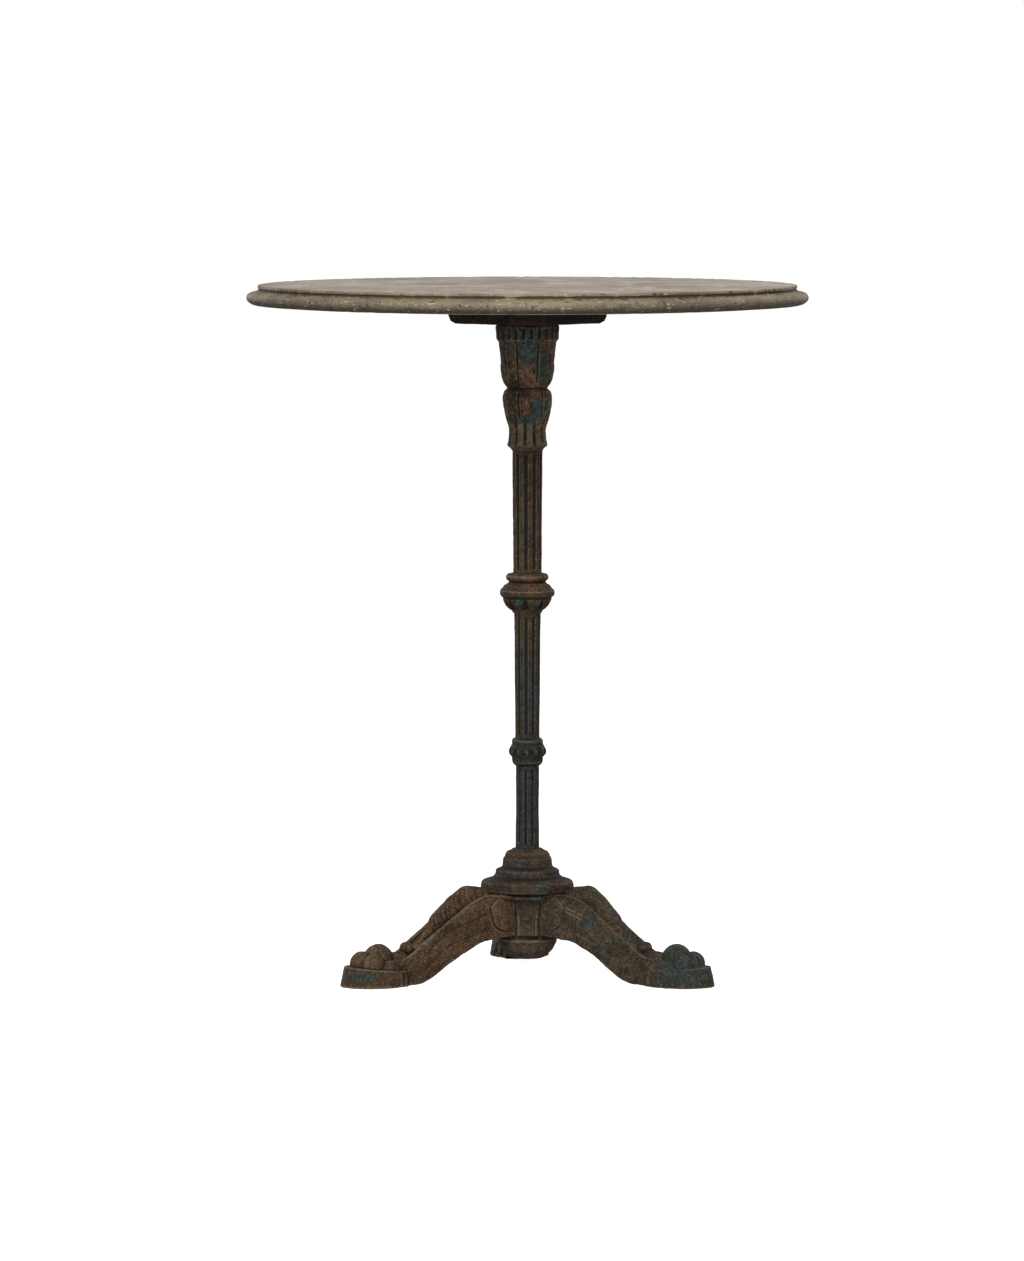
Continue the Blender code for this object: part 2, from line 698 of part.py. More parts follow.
def make_leg_mesh():
    """One leg along +X: the arch, its channel below, and a paw foot."""
    stations = [i / (LEG_STATIONS - 1) for i in range(LEG_STATIONS)]
    arch = shade(loft_mesh("leg_arch", [leg_section(t, spine_at(t)) for t in stations]))
    leg = add_guide("leg", arch)
    tools = []
    channel = loft_mesh("leg_channel", [channel_section(0.16 + 0.70 * t) for t in stations])
    tools.append(add_guide("leg_channel", channel))
    combine(leg, tools[-1], "DIFFERENCE")
    foot = (
        pad_mesh(),
        ball_mesh("ball", (0.0140, 0.0165, 0.0170), (BALL_CENTRE, 0, 0.0285)),
        ball_mesh("front_toes", (0.0130, 0.0215, 0.0155), (BALL_CENTRE + 0.0165, 0, 0.0225)),
        ball_mesh("heel_shelf", (0.0200, 0.0190, 0.0150), (ANKLE_KNOB + 0.0100, 0, 0.0190)),
        ball_mesh("ankle_knob", (0.0062, 0.0110, 0.0062), (ANKLE_KNOB, 0, 0.0375)),
    )
    for mesh in foot:
        tools.append(add_guide(mesh.name, mesh))
        combine(leg, tools[-1], "UNION")
    hub_clearance = cylinder_mesh("hub_clearance", HUB_BODY_RADIUS + 0.0006, 0.2, COLUMN_STEPS)
    tools.append(add_guide("hub_clearance", hub_clearance))
    combine(leg, tools[-1], "DIFFERENCE")
    bolt_hole = cylinder_mesh("leg_bolt_hole", BOLT_RADIUS + GAP, 0.040)
    tools.append(add_guide("leg_bolt_hole", bolt_hole, (0.010, 0, BOLT_HEIGHT), (0, math.pi / 2, 0)))
    combine(leg, tools[-1], "DIFFERENCE")
    mesh = bake_guide(leg)
    for tool in tools:
        bpy.data.objects.remove(tool, do_unlink=True)
    return shade(mesh)


def make_legs():
    """The three legs share a mesh, and each has its bolt and washer from inside the hub."""
    leg = make_leg_mesh()
    bolt = bolt_mesh("leg_bolt", BOLT_FLATS, BOLT_HEAD_HEIGHT, BOLT_RADIUS, BOLT_LENGTH)
    washer = ring_mesh("leg_washer", BOLT_WASHER_RADIUS, BOLT_RADIUS + GAP, BOLT_WASHER_THICKNESS)
    names = ("right", "rear", "left")
    washer_reach = BOLT_SEAT - GAP - BOLT_WASHER_THICKNESS
    for name, angle in zip(names, leg_angles()):
        turn = (0, math.pi / 2, angle)
        add_piece(f"leg_{name}", leg, RUSTY_IRON, rotation=(0, 0, angle))
        add_piece(f"leg_washer_{name}", washer, STEEL, around(washer_reach, angle, BOLT_HEIGHT), turn)
        bolt_place = around(washer_reach - GAP, angle, BOLT_HEIGHT)
        add_piece(f"leg_bolt_{name}", bolt, STEEL, bolt_place, turn)


clear_scene()
parts = new_collection("bistro_table")
cutters = new_collection("cutters")
make_stone_top()
make_stone_fixings()
make_spider()
make_capital()
make_shafts()
make_knop()
make_lower_ring()
make_tie_rod()
make_hub()
make_legs()
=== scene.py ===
"""Bistro table, the looks: every visible casting and the stone as a finely worked mesh.

The column's castings are turned surfaces with their flutes, petals and gadroons worked into the mesh. The
legs, paws and spider are solid shapes built as fields of signed distance and then meshed. The iron is old
and rusty with remains of blue-green paint, and the stone is worn.

Metres, +Z up. The column stands on the Z axis, and directions are angles round it from +X towards +Y.
"""

import math

import bmesh
import bpy
import numpy as np
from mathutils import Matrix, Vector


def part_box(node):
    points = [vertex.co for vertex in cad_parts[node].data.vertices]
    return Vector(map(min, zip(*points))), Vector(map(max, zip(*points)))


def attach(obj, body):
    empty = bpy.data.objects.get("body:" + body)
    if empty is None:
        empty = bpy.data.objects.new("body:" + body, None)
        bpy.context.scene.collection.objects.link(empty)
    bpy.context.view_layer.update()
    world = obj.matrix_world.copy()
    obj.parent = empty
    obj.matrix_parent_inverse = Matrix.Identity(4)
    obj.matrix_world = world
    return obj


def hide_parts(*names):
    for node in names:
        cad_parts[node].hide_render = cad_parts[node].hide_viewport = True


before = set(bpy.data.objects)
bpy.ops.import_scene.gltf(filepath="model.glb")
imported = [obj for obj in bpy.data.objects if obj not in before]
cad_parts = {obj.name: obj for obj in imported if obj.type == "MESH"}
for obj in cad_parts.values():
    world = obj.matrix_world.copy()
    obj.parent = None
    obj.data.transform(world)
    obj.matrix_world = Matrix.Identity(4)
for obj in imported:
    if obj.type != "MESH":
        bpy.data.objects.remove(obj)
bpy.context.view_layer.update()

MM = 0.001
TAU = 2 * math.pi

# A long lens, a little above the table's top and a little to the left of the column
CAMERA_PLACE = (-0.0165, -8.300, 1.0093)
CAMERA_TILT = math.radians(4.397)
CAMERA_LENS = 222.0

AMBIENT = 0.20  # how bright the backdrop is as a light

# Spacing of the mesh's points
TURNED_STEP = 0.7 * MM
STONE_STEP = 0.96 * MM
LEG_STEP = 0.79 * MM
SPIDER_STEP = 0.9 * MM

# How the castings fit together
GAP = 0.3 * MM
ROD_BORE = 7.0 * MM
SPIGOT_LENGTH = 6.0 * MM
SPIGOT_RADIUS = 10.0 * MM
SOCKET_DEPTH = SPIGOT_LENGTH + GAP
SOCKET_RADIUS = SPIGOT_RADIUS + GAP

COLUMN_RADIUS = 24 * MM  # about the mean of its castings, for the width of paint spots

CAMERA_WHITE = 0.97  # how bright the floor looks to the camera


# Noise and simple curves


def lattice(ix, iy, iz, seed):
    """A repeatable number from 0 to 1 for each lattice point."""
    mixed = (ix * 374761393 + iy * 668265263 + iz * 2147483647 + seed * 97531) & 0xFFFFFFFF
    mixed = ((mixed ^ (mixed >> 13)) * 1274126177) & 0xFFFFFFFF
    return ((mixed ^ (mixed >> 16)) & 0xFFFF) / 65535.0


def noise(points, size, seed=0):
    """Smooth noise from -1 to 1, with features of that size."""
    scaled = points / size
    base = np.floor(scaled)
    f = scaled - base
    f = f * f * (3 - 2 * f)
    ix, iy, iz = (base[..., k].astype(np.int64) for k in range(3))
    total = 0
    for dx in (0, 1):
        wx = f[..., 0] if dx else 1 - f[..., 0]
        for dy in (0, 1):
            wy = f[..., 1] if dy else 1 - f[..., 1]
            for dz in (0, 1):
                wz = f[..., 2] if dz else 1 - f[..., 2]
                total = total + wx * wy * wz * lattice(ix + dx, iy + dy, iz + dz, seed)
    return 2 * total - 1


def rough(points, size, octaves, seed=0):
    """Noise at several sizes, each half the one before."""
    total = 0
    for i in range(octaves):
        total = total + noise(points, size / 2**i, seed + 7 * i) / 2**i
    return total


def step_up(x, low, high):
    """0 below low, 1 above high, smooth between."""
    t = np.clip((x - low) / (high - low), 0, 1)
    return t * t * (3 - 2 * t)


def stretch(x, start, full, fading, end):
    """1 from full to fading, and 0 before start and after end."""
    return step_up(x, start, full) * (1 - step_up(x, fading, end))


def ridge(x, middle, width, power=2):
    """A bell curve, 1 in the middle."""
    return np.exp(-(((x - middle) / width) ** power))


# Meshes


def add_object(name, data):
    made = bpy.data.objects.new(name, data)
    bpy.context.scene.collection.objects.link(made)
    return made


def make_piece(name, points, quads, wear_and_shading, paint, node):
    """A mesh object from numpy arrays. The wear and shading values are below 0 in hollows, where they paint
    shade, and above 0 on edges, which they make pale, partly as dusty wear and partly as a painted
    highlight; some pieces add painted shadows and painted light to them. paint is how much
    paint is left, and below 0 it is pink rust; on the stone it is 1 on the edge and 0 on the face. The
    piece stands for the CAD node."""
    mesh = bpy.data.meshes.new(name)
    mesh.from_pydata(points.tolist(), [], quads.tolist())
    for label, values in (("wear_and_shading", wear_and_shading), ("paint", paint)):
        layer = mesh.attributes.new(label, "FLOAT", "POINT")
        layer.data.foreach_set("value", np.asarray(values, np.float32).ravel())
    mesh.shade_smooth()
    mesh.set_sharp_from_angle(angle=math.radians(55))
    piece = add_object(name, mesh)
    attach(piece, "root")
    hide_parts(node)
    return piece


def arc(start, end, bulge, count=12):
    """Points after start and before end on an arc. bulge is its height over half its chord, positive to the
    left of the way along it, which is outwards on a side that runs down."""
    chord = end - start
    length = np.hypot(*chord)
    sweep = 4 * math.atan(bulge)
    radius = length / (2 * math.sin(sweep / 2))
    normal = np.array((-chord[1], chord[0])) / length
    centre = (start + end) / 2 - normal * radius * math.cos(sweep / 2)
    found = []
    for i in range(1, count):
        turn = -sweep * i / count
        c, s = math.cos(turn), math.sin(turn)
        found.append(centre + np.array(((c, -s), (s, c))) @ (start - centre))
    return found


def outline(points, spacing):
    """A profile in mm as evenly spaced points in metres, with its corners kept. A height below 0 is
    measured down from the first point's. A third value is the bulge of the stretch that ends there."""
    path = [np.array(points[0][:2], float)]
    for point in points[1:]:
        end = np.array(point[:2], float)
        if end[1] < 0:
            end[1] += points[0][1]
        if len(point) == 3:
            path.extend(arc(path[-1], end, point[2]))
        path.append(end)
    fine = [path[0]]
    for a, b in zip(path, path[1:]):
        parts = max(1, round(np.hypot(*(b - a)) * MM / spacing))
        fine.extend(a + (b - a) * i / parts for i in range(1, parts + 1))
    return np.array(fine) * MM


def around(angle, radius, height):
    """Points round the axis."""
    return np.stack((radius * np.cos(angle), radius * np.sin(angle), height), -1)


def ring_quads(rows, columns):
    """Quads between each ring of points and the next, and at last between the last ring and the first."""
    index = np.arange(rows * columns).reshape(rows, columns)
    below = np.roll(index, -1, 0)
    return np.stack((index, below, np.roll(below, -1, 1), np.roll(index, -1, 1)), -1)


def turned_casting(name, node, slot, side, base, relief, spots, level, ends, columns, seed, pitting=0.25):
    """A turned casting round the column. side is its outer profile in mm above base, top first. relief
    gives how far the surface moves out and up, in mm, and its wear and shading, at each angle and height in
    mm.
    spots and level are the paint that is left. ends are the inner points, from the foot back up to the
    top, that close the casting round the tie rod."""
    path = outline(side, TURNED_STEP)
    inner = np.array(ends)
    count = len(path)
    along = np.gradient(path, axis=0)
    along /= np.maximum(np.hypot(along[:, 0], along[:, 1]), 1e-9)[:, None]
    out = np.stack((-along[:, 1], along[:, 0]), 1)
    angle = np.arange(columns) * TAU / columns
    a, r = np.meshgrid(angle, path[:, 0])
    h = np.broadcast_to(path[:, 1][:, None], a.shape)
    moved, lifted, wear_and_shading = relief(a, h / MM)
    flat = around(a, r, h + base)
    grain = rough(flat, 5 * MM, 3, seed) * pitting * MM
    grain = grain + noise(flat, 0.03, seed + 3) * 0.35 * MM
    fade = step_up(np.minimum(np.arange(count), np.arange(count)[::-1]), 0, 3)[:, None]
    moved = (moved * MM + grain) * fade
    radius = r + moved * out[:, 0][:, None]
    height = h + moved * out[:, 1][:, None] + lifted * MM * fade + base
    outer = around(a, radius, height)
    ring_a, ring_r = np.meshgrid(angle, inner[:, 0])
    ring_h = np.broadcast_to(inner[:, 1][:, None], ring_a.shape) + base
    grid = np.concatenate((outer, around(ring_a, ring_r, ring_h)))
    quads = ring_quads(len(grid), columns).reshape(-1, 4)
    wear_and_shading_all = np.concatenate((np.clip(wear_and_shading, -1, 1), np.zeros_like(ring_a)))
    paint_all = np.concatenate((patches(a, h, spots, level), np.zeros_like(ring_a)))
    return make_piece(name, grid.reshape(-1, 3), quads, wear_and_shading_all, paint_all, node)


def off_nearest(angle, count, phase):
    """The angle from the nearest of count evenly spaced directions, in radians."""
    pitch = TAU / count
    return np.abs((angle - phase + pitch / 2) % pitch - pitch / 2)


def grooves(angle, count, phase, width):
    """1 in the middle of each of count grooves round the axis, falling to 0 at half the width in radians."""
    return 1 - step_up(off_nearest(angle, count, phase), 0, width / 2)


def facing(angle, centre):
    """The angle from a direction given in degrees, in radians, 0 to pi."""
    return np.abs((angle - math.radians(centre) + math.pi) % TAU - math.pi)


def patches(angle, height, spots, level):
    """How much paint is left: level, and more in each spot, which is its direction in degrees, its height
    and size in mm, and its strength. Where it comes to less than 0, the iron has pink rust."""
    total = np.full(angle.shape, float(level))
    for centre, middle, size, strength in spots:
        across = facing(angle, centre) * COLUMN_RADIUS
        distance = np.hypot(across, height - middle * MM)
        total = total + strength * ridge(distance, 0, size * MM)
    return total


# Solid shapes as fields of signed distance, below 0 inside


class Block:
    """Evenly spaced points that fill a box."""

    def __init__(self, low, high, step):
        self.low = np.array(low, float)
        self.step = step
        axes = [np.arange(a, b + step, step) for a, b in zip(low, high)]
        self.x, self.y, self.z = np.meshgrid(*axes, indexing="ij", sparse=True)


def ellipsoid(block, centre, radii):
    """About the signed distance from an ellipsoid, whose centre and radii are given in mm."""
    centre, radii = np.array(centre) * MM, np.array(radii) * MM
    px = (block.x - centre[0]) / radii[0]
    py = (block.y - centre[1]) / radii[1]
    pz = (block.z - centre[2]) / radii[2]
    near = np.sqrt(px**2 + py**2 + pz**2)
    slope = np.sqrt((px / radii[0]) ** 2 + (py / radii[1]) ** 2 + (pz / radii[2]) ** 2)
    return near * (near - 1) / np.maximum(slope, 1e-6)


def merge(a, b, blend):
    """Both shapes, with a fillet of about that size where they meet."""
    h = np.clip(0.5 + 0.5 * (b - a) / blend, 0, 1)
    return b * (1 - h) + a * h - blend * h * (1 - h)


def common(a, b, blend):
    """What both shapes share."""
    return -merge(-a, -b, blend)


def without(a, b, blend):
    """a with b cut away."""
    return common(a, -b, blend)


def flat_field(u, v, corners):
    """Signed distance from a flat outline, given by its corners."""
    nearest = np.full(np.broadcast(u, v).shape, np.inf)
    sign = np.ones(nearest.shape)
    for (ax, ay), (bx, by) in zip(corners, [*corners[1:], corners[0]]):
        ex, ey = bx - ax, by - ay
        wx, wy = u - ax, v - ay
        t = np.clip((wx * ex + wy * ey) / (ex * ex + ey * ey), 0, 1)
        nearest = np.minimum(nearest, (wx - ex * t) ** 2 + (wy - ey * t) ** 2)
        above, below, left = v >= ay, v < by, ex * wy > ey * wx
        sign = np.where((above & below & left) | (~above & ~below & ~left), -sign, sign)
    return sign * np.sqrt(nearest)


def line_distance(u, v, points):
    """Distance from an open line."""
    nearest = np.inf
    for (ax, ay), (bx, by) in zip(points, points[1:]):
        ex, ey = bx - ax, by - ay
        t = np.clip(((u - ax) * ex + (v - ay) * ey) / (ex * ex + ey * ey), 0, 1)
        nearest = np.minimum(nearest, np.hypot(u - ax - ex * t, v - ay - ey * t))
    return nearest


def smooth_line(points, count):
    """count points on the smooth curve through the given ones, in metres from mm."""
    p = np.array(points, float) * MM
    padded = np.vstack((2 * p[0] - p[1], p, 2 * p[-1] - p[-2]))
    found = []
    for i in range(count):
        place = min(i * (len(p) - 1) / (count - 1), len(p) - 1.0001)
        k = int(place)
        u = place - k
        a, b, c, d = padded[k : k + 4]
        cubic = (3 * b - a - 3 * c + d) * u**3
        found.append(tuple((2 * b + (c - a) * u + (2 * a - 5 * b + 4 * c - d) * u**2 + cubic) / 2))
    return found


def mesh_field(block, field):
    """Points, quads and a measure of hollows and edges where the field crosses 0, one point to a cell."""
    inside = field < 0
    shape = tuple(n - 1 for n in field.shape)
    corners = [(i, j, k) for i in (0, 1) for j in (0, 1) for k in (0, 1)]
    filled = np.zeros(shape, np.int8)
    for i, j, k in corners:
        filled += inside[i : i + shape[0], j : j + shape[1], k : k + shape[2]]
    mixed = (filled > 0) & (filled < 8)
    cells = np.argwhere(mixed)
    number = np.full(shape, -1, np.int64)
    number[mixed] = np.arange(len(cells))
    place = np.zeros((len(cells), 3))
    hits = np.zeros(len(cells))
    for start in corners:
        for axis in range(3):
            if start[axis]:
                continue
            end = tuple(1 if k == axis else start[k] for k in range(3))
            fa = field[tuple((cells + start).T)]
            fb = field[tuple((cells + end).T)]
            crossed = (fa < 0) != (fb < 0)
            share = np.where(crossed, fa / np.where(crossed, fa - fb, 1), 0)
            spot = np.array(start, float) + share[:, None] * (np.array(end) - np.array(start))
            place += np.where(crossed[:, None], spot, 0)
            hits += crossed
    points = block.low + (cells + place / hits[:, None]) * block.step
    quads = []
    for axis in range(3):
        first = [slice(None)] * 3
        second = [slice(None)] * 3
        first[axis], second[axis] = slice(None, -1), slice(1, None)
        a, b = inside[tuple(first)], inside[tuple(second)]
        crossing = np.argwhere(a != b)
        u, v = (axis + 1) % 3, (axis + 2) % 3
        crossing = crossing[(crossing[:, u] > 0) & (crossing[:, v] > 0)]
        crossing = crossing[(crossing[:, u] < shape[u]) & (crossing[:, v] < shape[v])]
        back_u, back_v = np.zeros(3, int), np.zeros(3, int)
        back_u[u], back_v[v] = 1, 1
        ring = [crossing, crossing - back_u, crossing - back_u - back_v, crossing - back_v]
        four = np.stack([number[tuple(c.T)] for c in ring], 1)
        starts_inside = a[tuple(crossing.T)]
        four[~starts_inside] = four[~starts_inside][:, ::-1]
        quads.append(four)
    return points, np.concatenate(quads), curvature(field, cells, block.step)


def curvature(field, cells, step):
    """Above 0 on edges, below 0 in hollows."""
    reach = 2  # steps of the block
    core = field[reach:-reach, reach:-reach, reach:-reach]
    total = -6 * core
    size = field.shape
    for axis in range(3):
        for shift in (-reach, reach):
            window = [slice(reach, size[k] - reach) for k in range(3)]
            window[axis] = slice(reach + shift, size[axis] - reach + shift)
            total = total + field[tuple(window)]
    total = total / (reach**2 * step)
    spot = np.clip(cells - reach, 0, np.array(total.shape) - 1)
    return total[tuple(spot.T)]


def roughen(points, quads, size, depth, seed):
    """Points moved along their normals by noise."""
    a, b, c, d = (points[quads[:, k]] for k in range(4))
    face = np.cross(c - a, d - b)
    normal = np.zeros_like(points)
    for k in range(4):
        np.add.at(normal, quads[:, k], face)
    normal /= np.maximum(np.linalg.norm(normal, axis=1), 1e-12)[:, None]
    return points + normal * (rough(points, size, 3, seed) * depth)[:, None]


# Stone top


def make_stone():
    """A worn disc of stone: arris, cove and bead round its edge, with chips and a slightly uneven face."""
    low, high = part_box("stone_top")
    thick = (high.z - low.z) / MM
    rim = high.x / MM
    edge = (
        (rim - 14.5, thick), (rim - 13.2, thick), (rim - 12.3, -0.9, 0.41),
        (rim - 12.2, -3.2), (rim - 13.4, -4.2, -0.3), (rim - 5.2, -7.8, -0.22),
        (rim, -13.8, 0.36), (rim - 2.4, -17.8, 0.2), (rim - 9.5, 1.7, 0.2),
        (rim - 34.0, 0), (rim - 36.0, 0),
    )
    columns = 768
    hole = 4 * MM  # radius of the opening that close_middle fills
    path = outline(edge, STONE_STEP)
    arris_radius = path[3, 0]
    face = np.linspace(hole, path[0, 0], 20)[:-1]
    under = np.linspace(path[-1, 0], hole, 8)[1:]
    r = np.concatenate((face, path[:, 0], under))
    h = np.concatenate((np.full(len(face), path[0, 1]), path[:, 1], np.zeros(len(under))))
    angle = np.arange(columns) * TAU / columns
    a, r = np.meshgrid(angle, r)
    h = np.broadcast_to(h[:, None], a.shape)
    flat = around(a, r, h)
    on_edge = step_up(r, path[0, 0] - 1 * MM, path[0, 0] + 2 * MM)
    sag = noise(flat, 0.09, 5) * 0.25 * MM
    pits = np.maximum(rough(flat, 3.2 * MM, 3, 11) - 0.30, 0) * 0.8 * MM
    lower = 1 - step_up(h, 4 * MM, 11 * MM)
    chips = np.maximum(noise(flat, 9 * MM, 21) - 0.45, 0) * 2.4 * MM * lower
    arris = ridge(r, arris_radius, 1.6 * MM) * np.maximum(noise(flat, 7 * MM, 31) - 0.2, 0)
    grain = rough(flat, 2.2 * MM, 2, 41) * 0.16 * MM
    inward = on_edge * (pits + chips * 0.8 + grain + sag)
    radius = np.minimum(r - inward, high.x)
    drop = arris * 1.5 * MM + (1 - on_edge) * np.maximum(noise(flat, 0.05, 51), 0) * 0.12 * MM
    top_side = step_up(h, (thick - 2.5) * MM, thick * MM)
    height = h - drop * top_side + chips * 0.5
    grid = around(a, radius, np.minimum(height + low.z, high.z))
    quads = ring_quads(len(grid), columns)[:-1].reshape(-1, 4)
    # A painted shadow in a band below the arris; then the pits are darker and the arris and chips paler
    painted_arris_shadow = ridge(h, (thick - 4.1) * MM, 1.6 * MM) * (r < high.x - 8 * MM)
    wear_and_shading = (-pits / MM * 0.9 + arris + 0.5 * chips / MM - 0.9 * painted_arris_shadow) * on_edge
    piece = make_piece("stone", grid.reshape(-1, 3), quads, wear_and_shading, on_edge, "stone_top")
    close_middle(piece.data, columns)
    return piece


def close_middle(mesh, columns):
    """Closes the small round holes left in the middle of the two faces."""
    body = bmesh.new()
    body.from_mesh(mesh)
    body.edges.ensure_lookup_table()
    open_edges = [e for e in body.edges if len(e.link_faces) == 1]
    bmesh.ops.holes_fill(body, edges=open_edges, sides=columns)
    body.to_mesh(mesh)
    body.free()


# Spider


def make_spider():
    """Four tapering arms and a flared boss, as one rough casting with holes for the rod and the screws."""
    low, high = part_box("top_spider")
    reach = high.x
    top = high.z
    wide = reach + 4 * MM
    block = Block((-wide, -wide, low.z - 3 * MM), (wide, wide, top + 3 * MM), SPIDER_STEP)
    side = [
        (reach, top), (reach - 0.8 * MM, top - 10 * MM), (reach - 3 * MM, top - 15.2 * MM),
        (reach - 8 * MM, top - 18 * MM), (0.040, top - 19.2 * MM), (0, low.z + 0.3 * MM),
    ]
    whole = side + [(-x, z) for x, z in reversed(side[:-1])]
    field = None
    for u, v in ((block.x, block.y), (block.y, block.x)):
        arm = flat_field(u, block.z, whole)
        half = 23 * MM - 6 * MM * np.abs(u) / reach
        arm = common(arm, np.abs(v) - half, 3 * MM)
        field = arm if field is None else merge(field, arm, 5 * MM)
    radius = np.hypot(block.x, block.y)
    flare = [
        (-0.01, top - 0.3 * MM), (40 * MM, top - 0.3 * MM), (40 * MM, top - 5 * MM),
        (37 * MM, top - 11 * MM), (33.5 * MM, low.z + 1 * MM), (33 * MM, low.z), (-0.01, low.z),
    ]
    field = merge(field, flat_field(radius, block.z, flare), 2 * MM)
    sharp = 0.2 * MM
    nut_recess = np.maximum(radius - 14.5 * MM, top - 11 * MM - block.z)
    field = without(field, nut_recess, sharp)
    field = without(field, radius - ROD_BORE, sharp)
    screw_circle = 68 * MM
    for i in range(4):
        turn = i * TAU / 4
        off = np.hypot(block.x - screw_circle * math.cos(turn), block.y - screw_circle * math.sin(turn))
        head_recess = np.maximum(off - 7.6 * MM, block.z - low.z - 8.8 * MM)
        field = without(field, off - 3.6 * MM, sharp)
        field = without(field, head_recess, sharp)
    points, quads, bend = mesh_field(block, field)
    points = roughen(points, quads, 7 * MM, 0.25 * MM, 61)
    points[:, 2] = np.clip(points[:, 2], low.z, top)
    wear_and_shading = np.clip(bend, -1, 1)
    return make_piece("spider", points, quads, wear_and_shading, np.zeros(len(points)), "top_spider")


# Column


LEAF_TURN = math.radians(8)
PETAL_TURN = math.radians(22)
BELL_RADIUS = 29  # mm


def make_capital():
    """The column's head: a fluted band and bell, a neck, a leafy bulge and a petalled skirt."""
    low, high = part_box("capital")
    top = (high.z - low.z) / MM
    side = (
        (33.4, top), (34.0, -1.8, 0.3), (33.4, 119.5), (31.9, 117.2, 0.2), (30.6, 115.0),
        (29.6, 106.0), (27.0, 81.0), (21.3, 67.2, 0.20), (21.4, 66.4), (25.0, 55.0, 0.18),
        (23.8, 44.5, 0.08), (19.6, 25.5, 0.03), (19.0, 21.0, -0.05), (20.6, 7.0, -0.06),
        (19.8, 3.2, 0.35), (16.9, 0.4), (16.5, 0),
    )

    def relief(a, z):
        band = stretch(z, 118, 119.5, 129.5, 131.5)
        bell = stretch(z, 69, 78, 113, 115.5)
        leaf = stretch(z, 22, 30, 62, 66)
        skirt = stretch(z, 2.5, 6, 26, 38)
        # The band's narrow flutes, and the bell's wide ones, which leave four places for a flower
        fine = grooves(a, 24, math.radians(7.5), 0.11)
        quarter = off_nearest(a, 4, 0)
        plain = step_up(quarter, 0.10, 0.2)
        wide = grooves(a, 16, 0, 0.10) * plain
        lip = np.maximum(grooves(a, 16, 0, 0.26) * plain - wide, 0)
        swell = np.abs(np.sin(8 * a)) * plain + (1 - plain) * 0.8
        across = quarter * BELL_RADIUS
        motif = ridge(across, 0, 1.3) * ridge(z, 86, 5.5)
        motif = motif + ridge(across, 3.4 + 0.25 * (z - 90), 1.1) * ridge(z, 90, 3.2)
        moved = -band * fine * 1.6 + bell * (-wide * 2.1 + lip * 0.5 + swell * 0.5 + motif * 0.9)
        # The bulge's six leaves, each with a rim and a vein
        tip = 25 + 12 * (1 - np.abs(np.sin(3 * (a - LEAF_TURN)))) ** 1.5
        tongue = step_up(z, tip, tip + 3)
        petal = grooves(a, 6, LEAF_TURN, 0.12)
        rim = grooves(a, 6, LEAF_TURN, 0.38) - petal
        moved = moved + leaf * tongue * (1.1 - petal * 1.9 + rim * 0.55)
        vein = grooves(a, 6, LEAF_TURN + math.pi / 6, 0.10) * (1 - step_up(z, 40, 52))
        moved = moved - leaf * tongue * vein * 0.25
        # The skirt's twelve petals, with a scalloped foot
        lobe = grooves(a, 12, PETAL_TURN, 0.18)
        round_lobe = np.abs(np.sin(6 * (a - PETAL_TURN)))
        moved = moved + skirt * (-lobe * 2.1 + round_lobe * 0.9)
        lifted = stretch(z, 0.2, 3, 2.0, 12) * (1 - round_lobe) * 2.4
        # Painted shade in flutes, leaf hollows, petal grooves and the neck; paler rims and lips, partly wear,
        # partly painted highlight
        cavity = -(band * fine + bell * wide + leaf * petal * tongue + skirt * lobe)
        edge = bell * (lip * 0.9 + motif * 0.8) + leaf * rim * tongue * 0.8 + skirt * round_lobe * 0.3
        ring = ridge(z, 118.5, 0.8) - 1.2 * ridge(z, 66.8, 1.0)
        # The skirt is paler, and the band at the top gets a painted shadow of the spider above it
        bright = 0.34 * (1 - step_up(z, 26, 40)) - 0.2 * step_up(z, 116, 120)
        return moved, lifted, cavity + edge + ring * 0.7 + bright

    spots = (
        (-100, 123, 15, 0.8), (-72, 122, 10, 0.5), (-97, 105, 8, 1.2), (-87, 97, 6, 1.2),
        (-55, 94, 8, 1.1), (-52, 82, 7, 0.9), (-138, 103, 9, 0.8), (-111, 67, 6, 0.6),
        (-66, 48, 8, 1.5), (-86, 31, 7, 1.7), (-62, 36, 5, 0.8), (-35, 50, 8, 0.7),
        (-120, 32, 6, 0.4), (60, 95, 30, 0.6), (150, 50, 25, 0.5),
        (-95, 80, 9, -1.3), (-82, 70, 7, -1.2), (-70, 69, 6, -1.0), (-95, 53, 8, -0.7),
    )
    ends = ((SOCKET_RADIUS, 0), (SOCKET_RADIUS, SOCKET_DEPTH), (ROD_BORE, SOCKET_DEPTH), (ROD_BORE, top * MM))
    names = ("column_capital", "capital", "rusty_iron")
    return turned_casting(*names, side, low.z, relief, spots, 0.12, ends, columns=300, seed=71)


